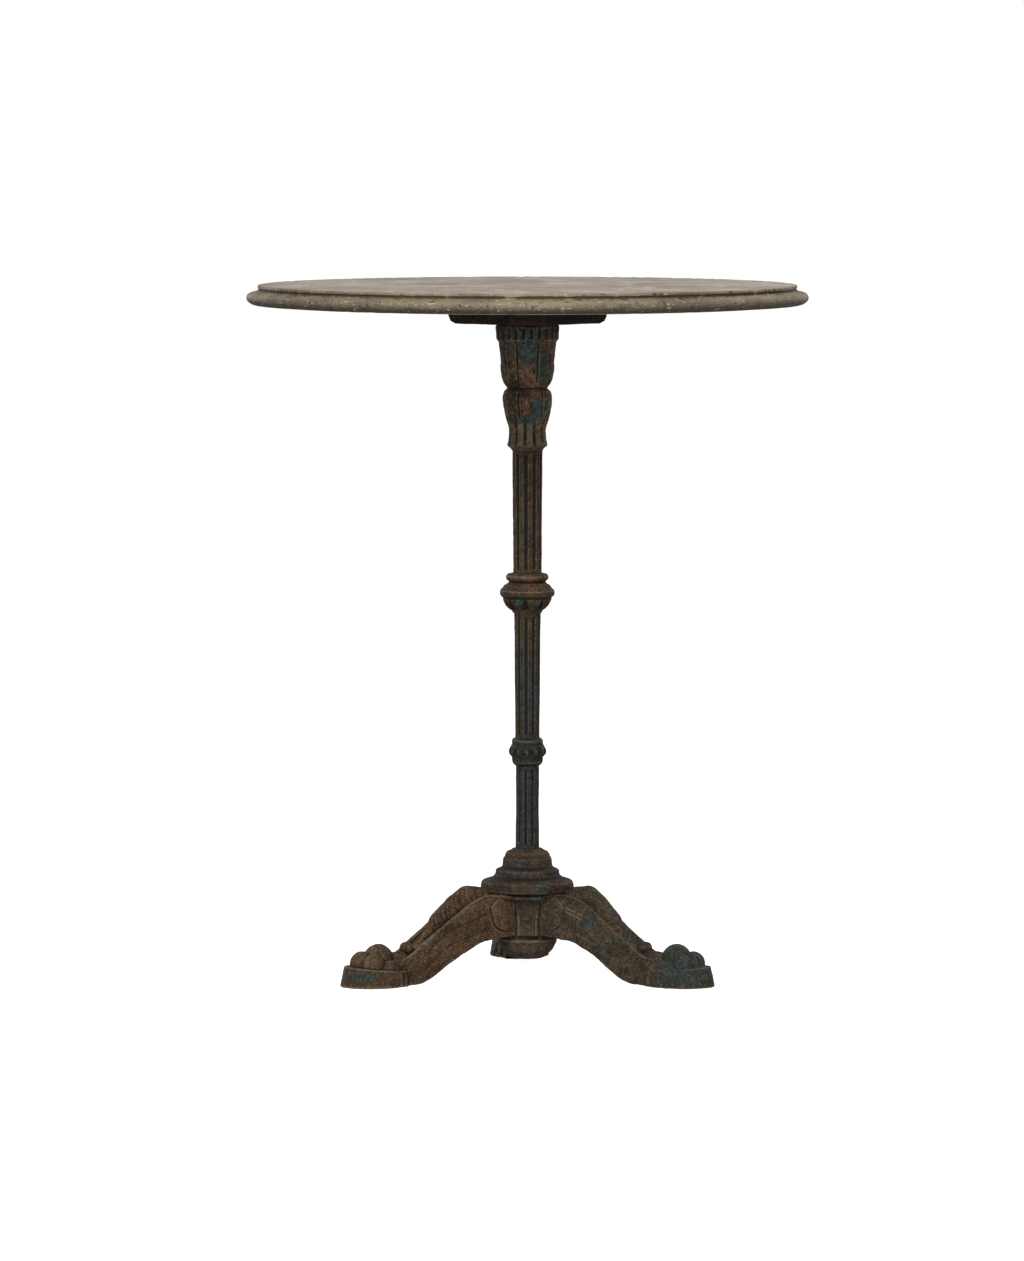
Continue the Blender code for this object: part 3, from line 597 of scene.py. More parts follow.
def make_shaft(name, node, slot, top_radius, foot_radius, turn, spots, level, seed):
    """A shaft with ten round-ended flutes, and its spigots. turn is one flute's direction in degrees, and
    level is how much paint is left outside its spots."""
    low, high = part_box(node)
    base = low.z + SPIGOT_LENGTH
    length = (high.z - low.z - 2 * SPIGOT_LENGTH) / MM
    side = ((top_radius, length), (top_radius, -0.5), (foot_radius, 0.5), (foot_radius, 0))
    flutes = 10
    pitch = TAU / flutes
    phase = math.radians(turn)

    def relief(a, z):
        inset = 2 + 2 * (1 - grooves(a, flutes, phase, pitch * 0.9))
        flute = stretch(z, inset, inset + 3, length - 3 - inset, length - inset)
        off = off_nearest(a, flutes, phase) / (pitch / 2)
        bowl = np.sqrt(np.clip(1 - (off / 0.44) ** 2, 0, 1))
        fillet = stretch(off, 0.44, 0.52, 0.60, 0.78)
        crown = np.cos(off * math.pi / 2)
        moved = -1.45 * bowl * flute - 0.35 * crown * flute
        # Paler fillets between the flutes, partly painted highlight, and painted shade in the flutes' bowls
        wear_and_shading = flute * (fillet * 0.55 - bowl * 0.75)
        return moved, 0, wear_and_shading

    ends = (
        (SPIGOT_RADIUS, 0), (SPIGOT_RADIUS, -SPIGOT_LENGTH), (ROD_BORE, -SPIGOT_LENGTH),
        (ROD_BORE, length * MM + SPIGOT_LENGTH), (SPIGOT_RADIUS, length * MM + SPIGOT_LENGTH),
        (SPIGOT_RADIUS, length * MM),
    )
    return turned_casting(name, node, slot, side, base, relief, spots, level, ends, 216, seed, pitting=0.18)


def socket_ends(height):
    """The closing points of a casting that takes a spigot at both ends."""
    seat = height - SOCKET_DEPTH
    low = ((SOCKET_RADIUS, 0), (SOCKET_RADIUS, SOCKET_DEPTH), (ROD_BORE, SOCKET_DEPTH))
    high = ((ROD_BORE, seat), (SOCKET_RADIUS, seat), (SOCKET_RADIUS, height))
    return (*low, *high)


KNOP_TURN = math.radians(-95)


def make_knop():
    """The knop: a rim and a belt of faint leaves over a gadrooned bowl."""
    low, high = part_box("middle_knop")
    height = (high.z - low.z) / MM
    side = (
        (16.4, height), (18.2, -0.5, 0.2), (22.7, -3.6, 0.35),
        (20.0, -8.6, 0.40), (19.9, -10.0), (24.6, -13.0, -0.10),
        (27.0, -16.6), (28.9, -18.6, 0.25), (29.0, -23.2, 0.10),
        (26.5, -25.6, 0.15), (25.6, -27.2, -0.2), (18.0, 4.0, 0.20),
        (15.8, 1.2, -0.1), (15.0, 0),
    )

    def relief(a, z):
        bowl = stretch(z, 2.5, 5, height - 28.5, height - 26.5)
        shoulder = stretch(z, height - 18, height - 16.5, height - 12, height - 10.5)
        low_part = 1 - step_up(z, 4, height - 28)
        lobe = grooves(a, 8, KNOP_TURN, 0.16 + 0.5 * low_part)
        petal = np.abs(np.sin(4 * (a - KNOP_TURN)))
        leaf = grooves(a, 24, math.radians(4), 0.07)
        moved = bowl * (-lobe * 2.0 + 0.8 * petal) - shoulder * leaf * 0.15
        # Painted shade in the gadroons, in the neck under the rim and under the bowl; painted highlights on
        # the upper torus and on the bowl's rim
        cavity = -(bowl * lobe + shoulder * leaf * 0.2)
        ring = ridge(z, height - 3.4, 1.2) + ridge(z, height - 19, 1.0)
        dark = ridge(z, height - 9.4, 1.3) + ridge(z, height - 26.4, 0.8)
        return moved, 0, cavity + 0.7 * ring - dark

    spots = ((-112, 14, 8, 0.9), (-60, 8, 9, 0.4), (90, 20, 25, 0.4), (-85, 36, 14, -0.5))
    ends = socket_ends(high.z - low.z)
    names = ("column_knop", "middle_knop", "rusty_iron")
    return turned_casting(*names, side, low.z, relief, spots, 0.05, ends, columns=270, seed=81)


def make_ring():
    """The collar between the two lower shafts, with six bosses round its belt."""
    low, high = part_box("lower_ring")
    height = (high.z - low.z) / MM
    side = (
        (13.6, height), (16.6, -2.8, 0.30), (16.9, -6.5, 0.05),
        (19.3, -13.2, 0.08), (19.2, -16.4, 0.12), (17.0, -20.5, 0.05),
        (16.2, -26.0, 0.05), (12.9, 0.6, 0.25), (12.8, 0),
    )

    def relief(a, z):
        belt = ridge(z, height - 14.8, 4.2, power=4)
        boss = np.cos(6 * (a - math.radians(-91))) ** 2
        rims = ridge(z, height - 3.0, 0.9) + ridge(z, 4.0, 0.9)
        line = ridge(z, height - 6.8, 0.7) + ridge(z, height - 21.5, 0.7)
        moved = belt * (boss * 2.1 - 1.3) - line * 0.35
        # Paler rims and bosses, partly painted highlight; painted shade in the grooves and on the belt
        # between the bosses
        wear_and_shading = belt * (boss * 1.2 - 0.75) + 0.6 * rims - 0.5 * line
        return moved, 0, wear_and_shading

    spots = ((-90, 14, 14, 0.4), (90, 14, 20, 0.5))
    ends = socket_ends(high.z - low.z)
    names = ("column_ring", "lower_ring", "painted_iron")
    return turned_casting(*names, side, low.z, relief, spots, 0.7, ends, columns=216, seed=91)


# Hub

HUB_FOOT = 19.0 * MM
PANEL_DIRECTIONS = (-90.0, 31.3, 151.3)  # degrees, each between two legs
PANEL_HALF = 22.0  # half a panel's width in degrees
PANEL_RADIUS = 33  # mm


def panel_swell(z):
    """How far the hub's panels stand out from its body, in mm, at a height in mm above the hub's foot."""
    return 5.0 + 1.6 * step_up(z, 36, 50) + 14.5 * np.clip((z - 46) / 27, 0, 1) ** 2.2


def make_hub():
    """The hub: stacked rings, a body with a panel between each pair of legs, and a cup below."""
    low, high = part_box("base_hub")
    height = (high.z - low.z) / MM
    side = (
        (16.0, height), (17.6, -1.6), (19.5, -2.2, 0.2), (23.0, -4.6, 0.22),
        (24.3, -7.6, 0.1), (24.6, -9.0), (25.6, -9.8, 0.3),
        (26.4, -16.5, 0.05), (26.8, -18.6), (29.0, -20.8, -0.1),
        (32.6, -22.2, 0.1), (34.0, -24.0, 0.3), (34.2, -26.6),
        (36.6, -30.0, -0.15), (38.5, -31.6), (45.6, -33.6, 0.05),
        (49.2, -36.6, 0.3), (49.8, -39.6), (50.4, -44.2, -0.15),
        (49.5, -45.4), (28.6, -45.6), (28.0, -47.0), (28.0, 25.0),
        (31.4, 21.6, -0.2), (31.9, 20.2, 0.4), (29.4, 13.6, 0.12), (22.6, 4.6, 0.14),
        (15.6, 0, 0.10), (14.6, 0),
    )

    def relief(a, z):
        body = stretch(z, 25, 27, 71.0, 72.4)
        raised = 0
        ribs = 0
        for centre in PANEL_DIRECTIONS:
            off = facing(a, centre)
            wide = 1 - step_up(off, math.radians(PANEL_HALF - 1.2), math.radians(PANEL_HALF))
            across = off * PANEL_RADIUS
            ribs = ribs + (1 - step_up(np.abs(across - 9.5), 0.4, 1.1)) * (1 - step_up(z, 43, 53))
            pouch = np.sqrt(np.clip(np.cos(across / 9.5 * math.pi / 2), 0, 1)) * (across < 9.5)
            raised = raised + wide * (panel_swell(z) + pouch * 1.6 * (1 - step_up(z, 34, 52)))
        ribs = np.clip(ribs, 0, 1)
        moved = body * (raised + 0.8 * ribs)
        # Painted highlights on the tiers' rims, paler bead and ribs, partly painted highlight, and painted
        # shade in the coves between the tiers
        steps = sum(ridge(z, height - level, 0.9) for level in (4.0, 10.8, 23.4, 35.2))
        hollows = sum(ridge(z, height - level, 1.2) for level in (19.8, 30.2))
        bead = ridge(z, 20.6, 1.0)
        # The cup at the foot is made paler as painted light; the body is paler and the tiers darker
        pale = 0.45 * (1 - step_up(z, 14, 26)) + 0.30 * body - 0.25 * step_up(z, 72, 76)
        wear_and_shading = 0.7 * steps + bead - 0.55 * hollows + body * ribs * 0.7 + pale
        return moved, 0, wear_and_shading

    spots = (
        (-118, 101, 8, 1.0), (-100, 104, 7, 0.6), (-75, 92, 8, 0.45), (-92, 90, 8, 0.4),
        (-77, 77, 8, 0.85), (-72, 66, 6, 0.8), (-78, 54, 6, 0.6), (-104, 35, 5, 0.8),
        (-75, 12, 8, 0.7), (60, 90, 30, 0.5), (170, 60, 30, 0.4),
    )
    cavity_radius, cavity_foot, cavity_top = 20 * MM, 9 * MM, 76 * MM
    cavity = ((cavity_radius, cavity_foot), (cavity_radius, cavity_top), (ROD_BORE, cavity_top))
    ends = (*cavity, *socket_ends(high.z - low.z)[3:])
    names = ("hub", "base_hub", "rusty_iron")
    return turned_casting(*names, side, low.z, relief, spots, 0.10, ends, columns=300, seed=101)


# Legs, each made along +X and then turned to its direction

# Top edge and underside as (distance from the axis, height) in mm
LEG_EDGE = (
    (26, 88), (44, 91), (60, 91), (75, 86.5), (89, 78),
    (111, 63.5), (127, 52), (140, 43), (152, 34), (164, 27),
)
LEG_UNDERSIDE = (
    (26, 46), (48, 43.4), (66, 40.8), (84, 32.3), (103, 21.8),
    (119, 11.2), (134, 3), (147, 0), (164, 0),
)
# The leaf's crest as (distance, height, radius) in mm
SPINE = (
    (60, 86, 12.5), (75, 87, 13.6), (91, 78.5, 11.8),
    (111, 64.0, 9.6), (124, 50.8, 5.4), (133, 42.0, 1.8),
)


def spine_field(block):
    """The leaf-like spine: a tapering rib, narrower than it is high, with slanting veins that run back from
    its crest."""
    nearest = np.inf
    lateral = block.y * 1.2
    for (ax, az, ar), (bx, bz, br) in zip(SPINE, SPINE[1:]):
        ax, az, ar, bx, bz, br = (v * MM for v in (ax, az, ar, bx, bz, br))
        ex, ez = bx - ax, bz - az
        t = np.clip(((block.x - ax) * ex + (block.z - az) * ez) / (ex * ex + ez * ez), 0, 1)
        flat = (block.x - ax - ex * t) ** 2 + (block.z - az - ez * t) ** 2
        nearest = np.minimum(nearest, np.sqrt(flat + lateral**2) - (ar + (br - ar) * t))
    along = block.x * 0.80 - block.z * 0.60  # down the leg's slope
    vein_pitch = 7.0 * MM
    turn = TAU * (along - 1.5 * np.abs(block.y)) / vein_pitch
    veins = np.abs(np.sin(turn / 2 + 0.6 * np.sin(along * 130))) ** 0.6 - 0.6
    return nearest - veins * 0.5 * MM


def arch_field(block):
    """The leg's arch: deep sides with raised bands and a rounded shoulder, a sunk top and a channel below."""
    edge = smooth_line(LEG_EDGE, 40)
    under = smooth_line(LEG_UNDERSIDE, 40)
    side = flat_field(block.x, block.z, edge + under[::-1])
    above = line_distance(block.x, block.z, edge)
    below = line_distance(block.x, block.z, under)
    depth = above / np.maximum(above + below, 1e-6)
    bands = np.abs(np.sin(math.pi * (3 * depth + 0.25 * np.sin(block.x * 70)))) ** 0.55 - 0.8
    bands = bands * stretch(block.x, 52 * MM, 64 * MM, 118 * MM, 146 * MM)
    half = np.interp(block.x.ravel(), (0.03, 0.07, 0.11, 0.15), (0.0200, 0.0198, 0.0188, 0.0178))
    # The shoulder bulges beside the hub's panel and ends in a wavy crease
    off = np.hypot(block.x - 35 * MM, (block.z - 71.5 * MM) * 1.05) / MM
    wavy = 20.5 + 1.2 * np.sin(block.z * 260)
    crease = ridge(off, wavy, 1.0) * 1.7 * step_up(block.x - 0.25 * block.z, 24 * MM, 34 * MM)
    shoulder = np.sqrt(np.clip(1 - (off / wavy) ** 2, 0, 1)) * 2.6
    # Close to the hub the top flares out to the width of the hub's lowest ring
    flare = np.clip((block.z - 77 * MM) / (14 * MM), 0, 1) ** 2.2 * 10
    flare = flare * (1 - step_up(np.hypot(block.x, block.y), 40 * MM, 50 * MM))
    swell = (bands + np.maximum(shoulder, flare) - crease) * MM
    field = common(side, np.abs(block.y) - half[:, None, None] - swell, 2.0 * MM)
    # The sunk top, between two lips
    sunk = [(x, z - 5.0 * MM) for x, z in edge]
    over = flat_field(block.x, block.z, [*sunk, (sunk[-1][0], 0.2), (sunk[0][0], 0.2)])
    trough = common(over, np.abs(block.y) - 15.5 * MM, 1.5 * MM)
    trough = np.maximum(trough, 46 * MM - block.x)
    field = without(field, trough, 1.5 * MM)
    # The channel below
    roof = [(x, z - 12.5 * MM) for x, z in edge if 46 * MM < x < 124 * MM]
    channel = flat_field(block.x, block.z, [*roof, (roof[-1][0], -0.03), (roof[0][0], -0.03)])
    channel = common(channel, np.abs(block.y) - 14.2 * MM, 2 * MM)
    return without(field, channel, 1 * MM)


def foot_field(block):
    """The paw on its plinth: a round knuckle, three toes in front of it, one on each side and an instep,
    with an ankle knob behind."""
    x, y, z = block.x, block.y, block.z
    front = (np.hypot((x - 186 * MM) / 39.5, y / 32.5) - 1 * MM) * 35
    heel = [(146, 14), (160, 20), (172, 27.5), (188, 32), (188, -32), (172, -27.5), (160, -20), (146, -14)]
    plan = np.minimum(front, flat_field(x, y, [(u * MM, v * MM) for u, v in heel]))
    plinth_top = 16.8 * MM + (x - 165 * MM) * 0.09
    folds = np.cos(TAU * x / (8.5 * MM)) * stretch(x, 0.150, 0.156, 0.170, 0.178)
    plinth = common(plan + 0.19 * z - folds * 0.7 * MM, z - plinth_top, 0.8 * MM)
    plinth = np.maximum(plinth, -z)
    ball = ellipsoid(block, (182.8, 0, 29.4), (14.8, 17.2, 15.0))
    toes = None
    for across, ahead in ((0, 201.0), (14.0, 196.0), (-14.0, 196.0)):
        toe = ellipsoid(block, (ahead, across, 22.2), (13.0, 9.2, 13.6))
        toes = toe if toes is None else merge(toes, toe, 0.5 * MM)
    instep = ellipsoid(block, (162.0, 0, 16.0), (26.0, 20.5, 16.5))
    right, left = (ellipsoid(block, (179.0, across, 10.0), (14.0, 10.5, 18.5)) for across in (-17.5, 17.5))
    side_toes = np.minimum(right, left)
    shelf = ellipsoid(block, (159.0, 0, 26.0), (11.0, 15.0, 9.0))
    knob = ellipsoid(block, (149.0, 0, 38.0), (6.2, 9.5, 6.6))
    field = merge(plinth, instep, 3.5 * MM)
    field = merge(field, side_toes, 1.5 * MM)
    field = merge(field, shelf, 3 * MM)
    field = merge(field, toes, 0.8 * MM)
    field = merge(field, ball, 0.5 * MM)
    return merge(field, knob, 0.9 * MM)


class Leaned:
    """A block whose middle stretch is shifted along the leg, for castings that differ a little."""

    def __init__(self, block, lean):
        self.x = block.x - lean * stretch(block.x, 80 * MM, 120 * MM, 138 * MM, 176 * MM)
        self.y = block.y
        self.z = block.z


def leg_field(block):
    """Arch, spine and foot as one casting, cut to fit round the hub and bored for its bolt."""
    field = arch_field(block)
    field = merge(field, spine_field(block), 1.2 * MM)
    field = merge(field, foot_field(block), 3.0 * MM)
    beside = np.abs(np.arctan2(block.y, block.x)) > math.radians(60 - PANEL_HALF - 0.6)
    panel = 28 * MM + panel_swell((block.z - HUB_FOOT) / MM) * MM + GAP
    hub = np.where(beside, panel, 28 * MM + GAP) - np.hypot(block.x, block.y)
    field = common(field, hub, 0.4 * MM)
    bolt_height, bore, bore_end = 65 * MM, 4.4 * MM, 49 * MM
    bolt = np.maximum(np.hypot(block.y, block.z - bolt_height) - bore, block.x - bore_end)
    field = without(field, bolt, 0.3 * MM)
    return np.maximum(field, -block.z)


def make_leg(block, name, direction, lean, level, seed):
    """One leg with its paw. direction is in degrees, and level is how much paint is left on the arch."""
    points, quads, bend = mesh_field(block, leg_field(Leaned(block, lean)))
    # Creases are darkened more than edges are made pale: painted shade in the creases
    wear_and_shading = np.clip(np.where(bend < 0, 2.4 * bend, bend), -1, 1)
    local = roughen(points, quads, 6 * MM, 0.30 * MM, 111 + seed)
    local[:, 2] = np.maximum(local[:, 2], 0)
    x, y, z = local.T
    foot = step_up(x, 150 * MM, 185 * MM)
    paint = level + 0.25 * noise(local, 0.03, 5 + seed)
    if name == "left":
        # A pale foot with a band of paint round its plinth's front
        wear_and_shading = np.clip(wear_and_shading + 0.24 * foot, -1, 1)
        paint = paint + 0.9 * ridge(z, 12 * MM, 8 * MM) * step_up(x, 192 * MM, 205 * MM)
    else:
        paint = paint + 0.42 * foot
    if name == "right":
        # Two pale scrape marks, 22 mm long, that slope down the front of the arch; they also paint a
        # highlight on it
        along = (x - 58 * MM) / (22 * MM)
        lift = z - (73.5 - 8 * along) * MM
        scrapes_and_highlight = ridge(lift, 0, 1.5 * MM) + ridge(lift, 4.5 * MM, 1.2 * MM)
        wear_and_shading = np.maximum(wear_and_shading, scrapes_and_highlight * (np.abs(along - 0.5) < 0.5) * (y < 0))
    c, s = math.cos(math.radians(direction)), math.sin(math.radians(direction))
    placed = np.stack((x * c - y * s, x * s + y * c, z), 1)
    return make_piece(f"leg_{name}_casting", placed, quads, wear_and_shading, paint, f"leg_{name}")


# Materials


class Surface:
    """A material's nodes. Texture sizes are in metres, in the table's own space."""

    def __init__(self, name):
        self.material = bpy.data.materials.new(name)
        self.material.use_nodes = True
        self.tree = self.material.node_tree
        self.shader = self.tree.nodes["Principled BSDF"]
        self.place = self.tree.nodes.new("ShaderNodeTexCoord").outputs["Object"]

    def put(self, socket, value):
        """Links a node's output to the socket, or sets its value."""
        if isinstance(value, bpy.types.NodeSocket):
            self.tree.links.new(value, socket)
        elif isinstance(value, tuple) and socket.type == "RGBA":
            socket.default_value = (*value, 1.0)
        else:
            socket.default_value = value

    def add(self, kind, inputs, **settings):
        """The outputs of a new node, given its inputs and settings."""
        node = self.tree.nodes.new("ShaderNode" + kind)
        for setting, value in settings.items():
            setattr(node, setting, value)
        for socket, value in inputs.items():
            self.put(node.inputs[socket], value)
        return node.outputs

    def shade(self, inputs):
        for socket, value in inputs.items():
            self.put(self.shader.inputs[socket], value)

    def noise(self, size, detail, rough, scale=None):
        """Cloudy noise from 0 to 1. scale is how much finer it is along each axis."""
        where = self.place
        if scale:
            where = self.add("Mapping", {"Vector": where, "Scale": scale})["Vector"]
        inputs = {"Vector": where, "Scale": 1 / size, "Detail": detail, "Roughness": rough}
        return self.add("TexNoise", inputs)["Fac"]

    def layer(self, name):
        """A value stored on the mesh's points."""
        return self.add("Attribute", {}, attribute_name=name)["Fac"]

    def calculate(self, operation, a, b=0.0):
        return self.add("Math", {0: a, 1: b}, operation=operation)[0]

    def plus(self, a, b):
        return self.calculate("ADD", a, b)

    def minus(self, a, b):
        return self.calculate("SUBTRACT", a, b)

    def times(self, a, b):
        return self.calculate("MULTIPLY", a, b)

    def rise(self, value, low, high, reach=1.0):
        """0 below low to reach above high."""
        inputs = {"Value": value, "From Min": low, "From Max": high, "To Max": reach}
        return self.add("MapRange", inputs, interpolation_type="SMOOTHSTEP")["Result"]

    def mix(self, share, a, b, blend="MIX"):
        return self.add("Mix", {0: share, 6: a, 7: b}, data_type="RGBA", blend_type=blend)[2]

    def stain(self, under, pattern, low, high, strength, colour):
        """The colour, over what is under it, where the pattern rises from low to high."""
        return self.mix(self.rise(pattern, low, high, strength), under, colour)

    def bump(self, height, distance, strength, under=None):
        """The normal of a bumpy surface, over the one under it."""
        inputs = {"Distance": distance, "Strength": strength, "Height": height}
        if under:
            inputs["Normal"] = under
        return self.add("Bump", inputs)["Normal"]


# Pink rust, pale edges (partly dusty wear, partly painted highlight), pale specks, and the painted shade in
# hollows
PINK_RUST = (0.125, 0.068, 0.050)
PALE_EDGE = (0.215, 0.170, 0.118)
PALE_SPECK = (0.46, 0.38, 0.28)
HOLLOW_SHADE = (0.008, 0.006, 0.0045)


def iron(name, dark, brown, rust, paint, rust_share, dust_and_highlight=1.0, uneven=0.5):
    """Old cast iron: dark scale, brown bloom and rust, remains of paint, pale edges that are partly dusty
    wear and partly painted highlight, and painted shade in the hollows. rust_share is above 0 for more
    rust, the dust setting is how pale the edges are, as dusty wear and painted highlight, and uneven
    how blotchy it all is."""
    s = Surface(name)
    wear_and_shading = s.layer("wear_and_shading")
    left = s.layer("paint")
    cloud = s.noise(0.024, 6, 0.65)
    mottle = s.noise(0.0042, 6, 0.75)
    grit = s.noise(0.0013, 4, 0.72)
    colour = s.mix(s.rise(cloud, 0.34, 0.62, 0.85), dark, brown)
    colour = s.stain(colour, mottle, 0.46, 0.70, 0.55, tuple(c * 1.6 for c in brown))
    rusty = s.plus(s.noise(0.0075, 7, 0.78), rust_share)
    colour = s.stain(colour, rusty, 0.57, 0.68, 0.6, rust)
    colour = s.stain(colour, s.times(left, -1.0), 0.05, 0.7, 0.75, PINK_RUST)
    flakes = s.times(s.noise(0.0090, 8, 0.80), 1.6)
    coat = s.plus(flakes, s.times(left, 0.30))
    coat = s.rise(coat, 0.97, 1.08, 0.88)
    shade = s.mix(s.rise(mottle, 0.38, 0.64), tuple(c * 0.5 for c in paint), paint)
    colour = s.mix(coat, colour, shade)
    fade = s.mix(s.rise(grit, 0.34, 0.66), (0.13, 0.12, 0.105), (2.15, 2.0, 1.75))
    colour = s.mix(0.95, colour, fade, "MULTIPLY")
    blotch = s.mix(s.rise(s.noise(0.0046, 6, 0.72), 0.36, 0.64), (0.42, 0.42, 0.42), (1.65, 1.60, 1.52))
    colour = s.mix(uneven, colour, blotch, "MULTIPLY")
    # Pale edges, partly dusty wear and partly painted highlight; then painted shade in the hollows, and pale
    # specks
    pale = s.times(s.rise(wear_and_shading, 0.18, 0.8), s.rise(mottle, 0.34, 0.56))
    colour = s.mix(s.times(pale, 0.60 * dust_and_highlight), colour, PALE_EDGE)
    colour = s.stain(colour, s.times(wear_and_shading, -1.0), 0.10, 0.6, 0.9, HOLLOW_SHADE)
    colour = s.stain(colour, s.noise(0.0028, 3, 0.65), 0.70, 0.74, 0.8 * dust_and_highlight, PALE_SPECK)
    roughness = s.minus(0.80, s.times(coat, 0.22))
    normal = s.bump(grit, 0.0006, 0.9, s.bump(mottle, 0.0015, 0.75))
    s.shade({"Base Color": colour, "Roughness": roughness, "Specular IOR Level": 0.22, "Normal": normal})
    return s.material


def stone():
    """Worn stone: a pale, streaky, stained face, and a darker mottled edge with chips, an olive tint below
    the arris and a shaded foot."""
    s = Surface("worn_stone")
    edge = s.layer("paint")
    wear_and_shading = s.layer("wear_and_shading")
    cloud = s.noise(0.085, 10, 0.68)
    streak = s.noise(0.050, 11, 0.74, (1.0, 0.60, 1.0))
    grain = s.noise(0.0022, 4, 0.7)
    spots = s.noise(0.0065, 5, 0.7)
    face = s.mix(s.rise(cloud, 0.35, 0.68), (0.275, 0.225, 0.170), (0.43, 0.375, 0.305))
    face = s.stain(face, streak, 0.50, 0.62, 0.55, (0.66, 0.61, 0.54))
    face = s.stain(face, s.noise(0.02, 7, 0.7), 0.56, 0.70, 0.45, (0.28, 0.225, 0.165))
    face = s.stain(face, grain, 0.46, 0.62, 0.45, (0.20, 0.165, 0.125))
    crack = s.calculate("ABSOLUTE", s.minus(s.noise(0.13, 9, 0.64), 0.5))
    crack = s.minus(1.0, s.rise(crack, 0.0, 0.007))
    face = s.mix(s.times(crack, 0.45), face, (0.15, 0.115, 0.082))
    face = s.stain(face, spots, 0.55, 0.72, 0.35, (0.17, 0.135, 0.10))
    lines = s.noise(0.010, 5, 0.7, (0.22, 2.2, 1.0))
    face = s.stain(face, lines, 0.60, 0.70, 0.45, (0.60, 0.55, 0.47))
    crossing = s.noise(0.012, 5, 0.7, (2.4, 0.20, 1.0))
    face = s.stain(face, crossing, 0.62, 0.72, 0.35, (0.20, 0.16, 0.12))
    face = s.stain(face, s.noise(0.0019, 2, 0.5), 0.74, 0.78, 0.7, (0.07, 0.055, 0.042))
    side = s.mix(s.rise(cloud, 0.38, 0.64), (0.128, 0.098, 0.063), (0.222, 0.174, 0.112))
    side = s.stain(side, spots, 0.46, 0.66, 0.65, (0.082, 0.064, 0.044))
    side = s.stain(side, s.noise(0.0042, 6, 0.75), 0.53, 0.66, 0.6, (0.33, 0.275, 0.195))
    side = s.stain(side, s.noise(0.030, 4, 0.6), 0.50, 0.66, 0.35, (0.195, 0.162, 0.085))
    height = s.add("SeparateXYZ", {0: s.place})["Z"]
    olive = s.times(s.rise(height, 0.7285, 0.7325), s.rise(cloud, 0.35, 0.60, 0.65))
    side = s.mix(olive, side, (0.250, 0.200, 0.115))
    side = s.stain(side, s.noise(0.0020, 4, 0.75), 0.60, 0.68, 0.55, (0.47, 0.41, 0.31))
    side = s.stain(side, s.noise(0.0024, 4, 0.75), 0.58, 0.66, 0.6, (0.055, 0.043, 0.030))
    low_side = s.minus(1.0, s.rise(height, 0.7200, 0.7312))
    side = s.mix(s.times(low_side, 0.92), side, (0.042, 0.033, 0.022))
    colour = s.mix(edge, face, side)
    chip = s.rise(s.noise(0.0065, 8, 0.85, (1, 1, 3.0)), 0.585, 0.615, 0.95)
    colour = s.mix(s.times(chip, edge), colour, (0.66, 0.62, 0.54))
    # Paler on the rubbed arris and chips; darker in the pits and in the painted shadow below the arris
    colour = s.stain(colour, wear_and_shading, 0.25, 0.8, 0.35, (0.42, 0.37, 0.29))
    colour = s.stain(colour, s.times(wear_and_shading, -1.0), 0.1, 0.5, 0.9, (0.040, 0.031, 0.021))
    roughness = s.plus(0.62, s.times(grain, 0.25))
    normal = s.bump(grain, 0.0004, 0.6, s.bump(spots, 0.0009, 0.5))
    s.shade({"Base Color": colour, "Roughness": roughness, "Specular IOR Level": 0.35, "Normal": normal})
    return s.material


def hidden_metal(name, colour, roughness):
    """Dull turned metal for the fasteners, with stains and fine scratches."""
    s = Surface(name)
    stain = s.rise(s.noise(0.006, 5, 0.6), 0.42, 0.66, 0.8)
    stained = s.mix(stain, colour, tuple(c * 0.35 for c in colour))
    rougher = s.plus(roughness, s.times(stain, 0.3))
    scratches = s.bump(s.noise(0.0011, 3, 0.6, (1, 1, 6)), 0.0002, 0.4)
    s.shade({"Base Color": stained, "Roughness": rougher, "Metallic": 0.9, "Normal": scratches})
    return s.material


def dress(piece, material):
    """Gives a piece its one material."""
    piece.data.materials.clear()
    piece.data.materials.append(material)


# Making the table

DARK = (0.019, 0.0135, 0.0080)
BROWN = (0.060, 0.0415, 0.025)
RUST = (0.115, 0.050, 0.024)
TEAL = (0.030, 0.062, 0.073)
SLATE = (0.018, 0.033, 0.039)
# Darker copies of the iron's colours: painted shade on the spider under the stone
SHADED = ((0.006, 0.0038, 0.002), (0.021, 0.0115, 0.006), (0.045, 0.020, 0.008))

dress(make_stone(), stone())
dress(make_spider(), iron("iron_spider", *SHADED, TEAL, 0.02, dust_and_highlight=0.3))
capital_iron = iron("iron_capital", DARK, (0.080, 0.059, 0.037), RUST, TEAL, 0.0, dust_and_highlight=1.2, uneven=0.95)
dress(make_capital(), capital_iron)
spots = ((-96, 100, 6, 0.9), (-130, 60, 12, 0.4), (80, 70, 40, 0.6))
shaft = make_shaft("shaft_upper", "upper_shaft", "rusty_iron", 16.2, 15.3, -97, spots, 0.0, seed=121)
dress(shaft, iron("iron_upper_shaft", DARK, (0.052, 0.039, 0.025), (0.080, 0.042, 0.022), TEAL, -0.03))
dress(make_knop(), iron("iron_knop", DARK, (0.056, 0.037, 0.023), RUST, TEAL, 0.02))
spots = ((-86, 62, 17, 1.3), (-84, 32, 18, 1.3), (-105, 84, 9, 0.8), (90, 40, 50, 0.9))
shaft = make_shaft("shaft_lower", "lower_shaft", "painted_iron", 14.2, 13.1, -97, spots, 0.12, seed=131)
dress(shaft, iron("iron_lower_shaft", DARK, (0.038, 0.030, 0.019), (0.060, 0.034, 0.017), SLATE, -0.05))
dress(make_ring(), iron("iron_ring", DARK, (0.032, 0.029, 0.021), (0.045, 0.028, 0.016), SLATE, -0.06))
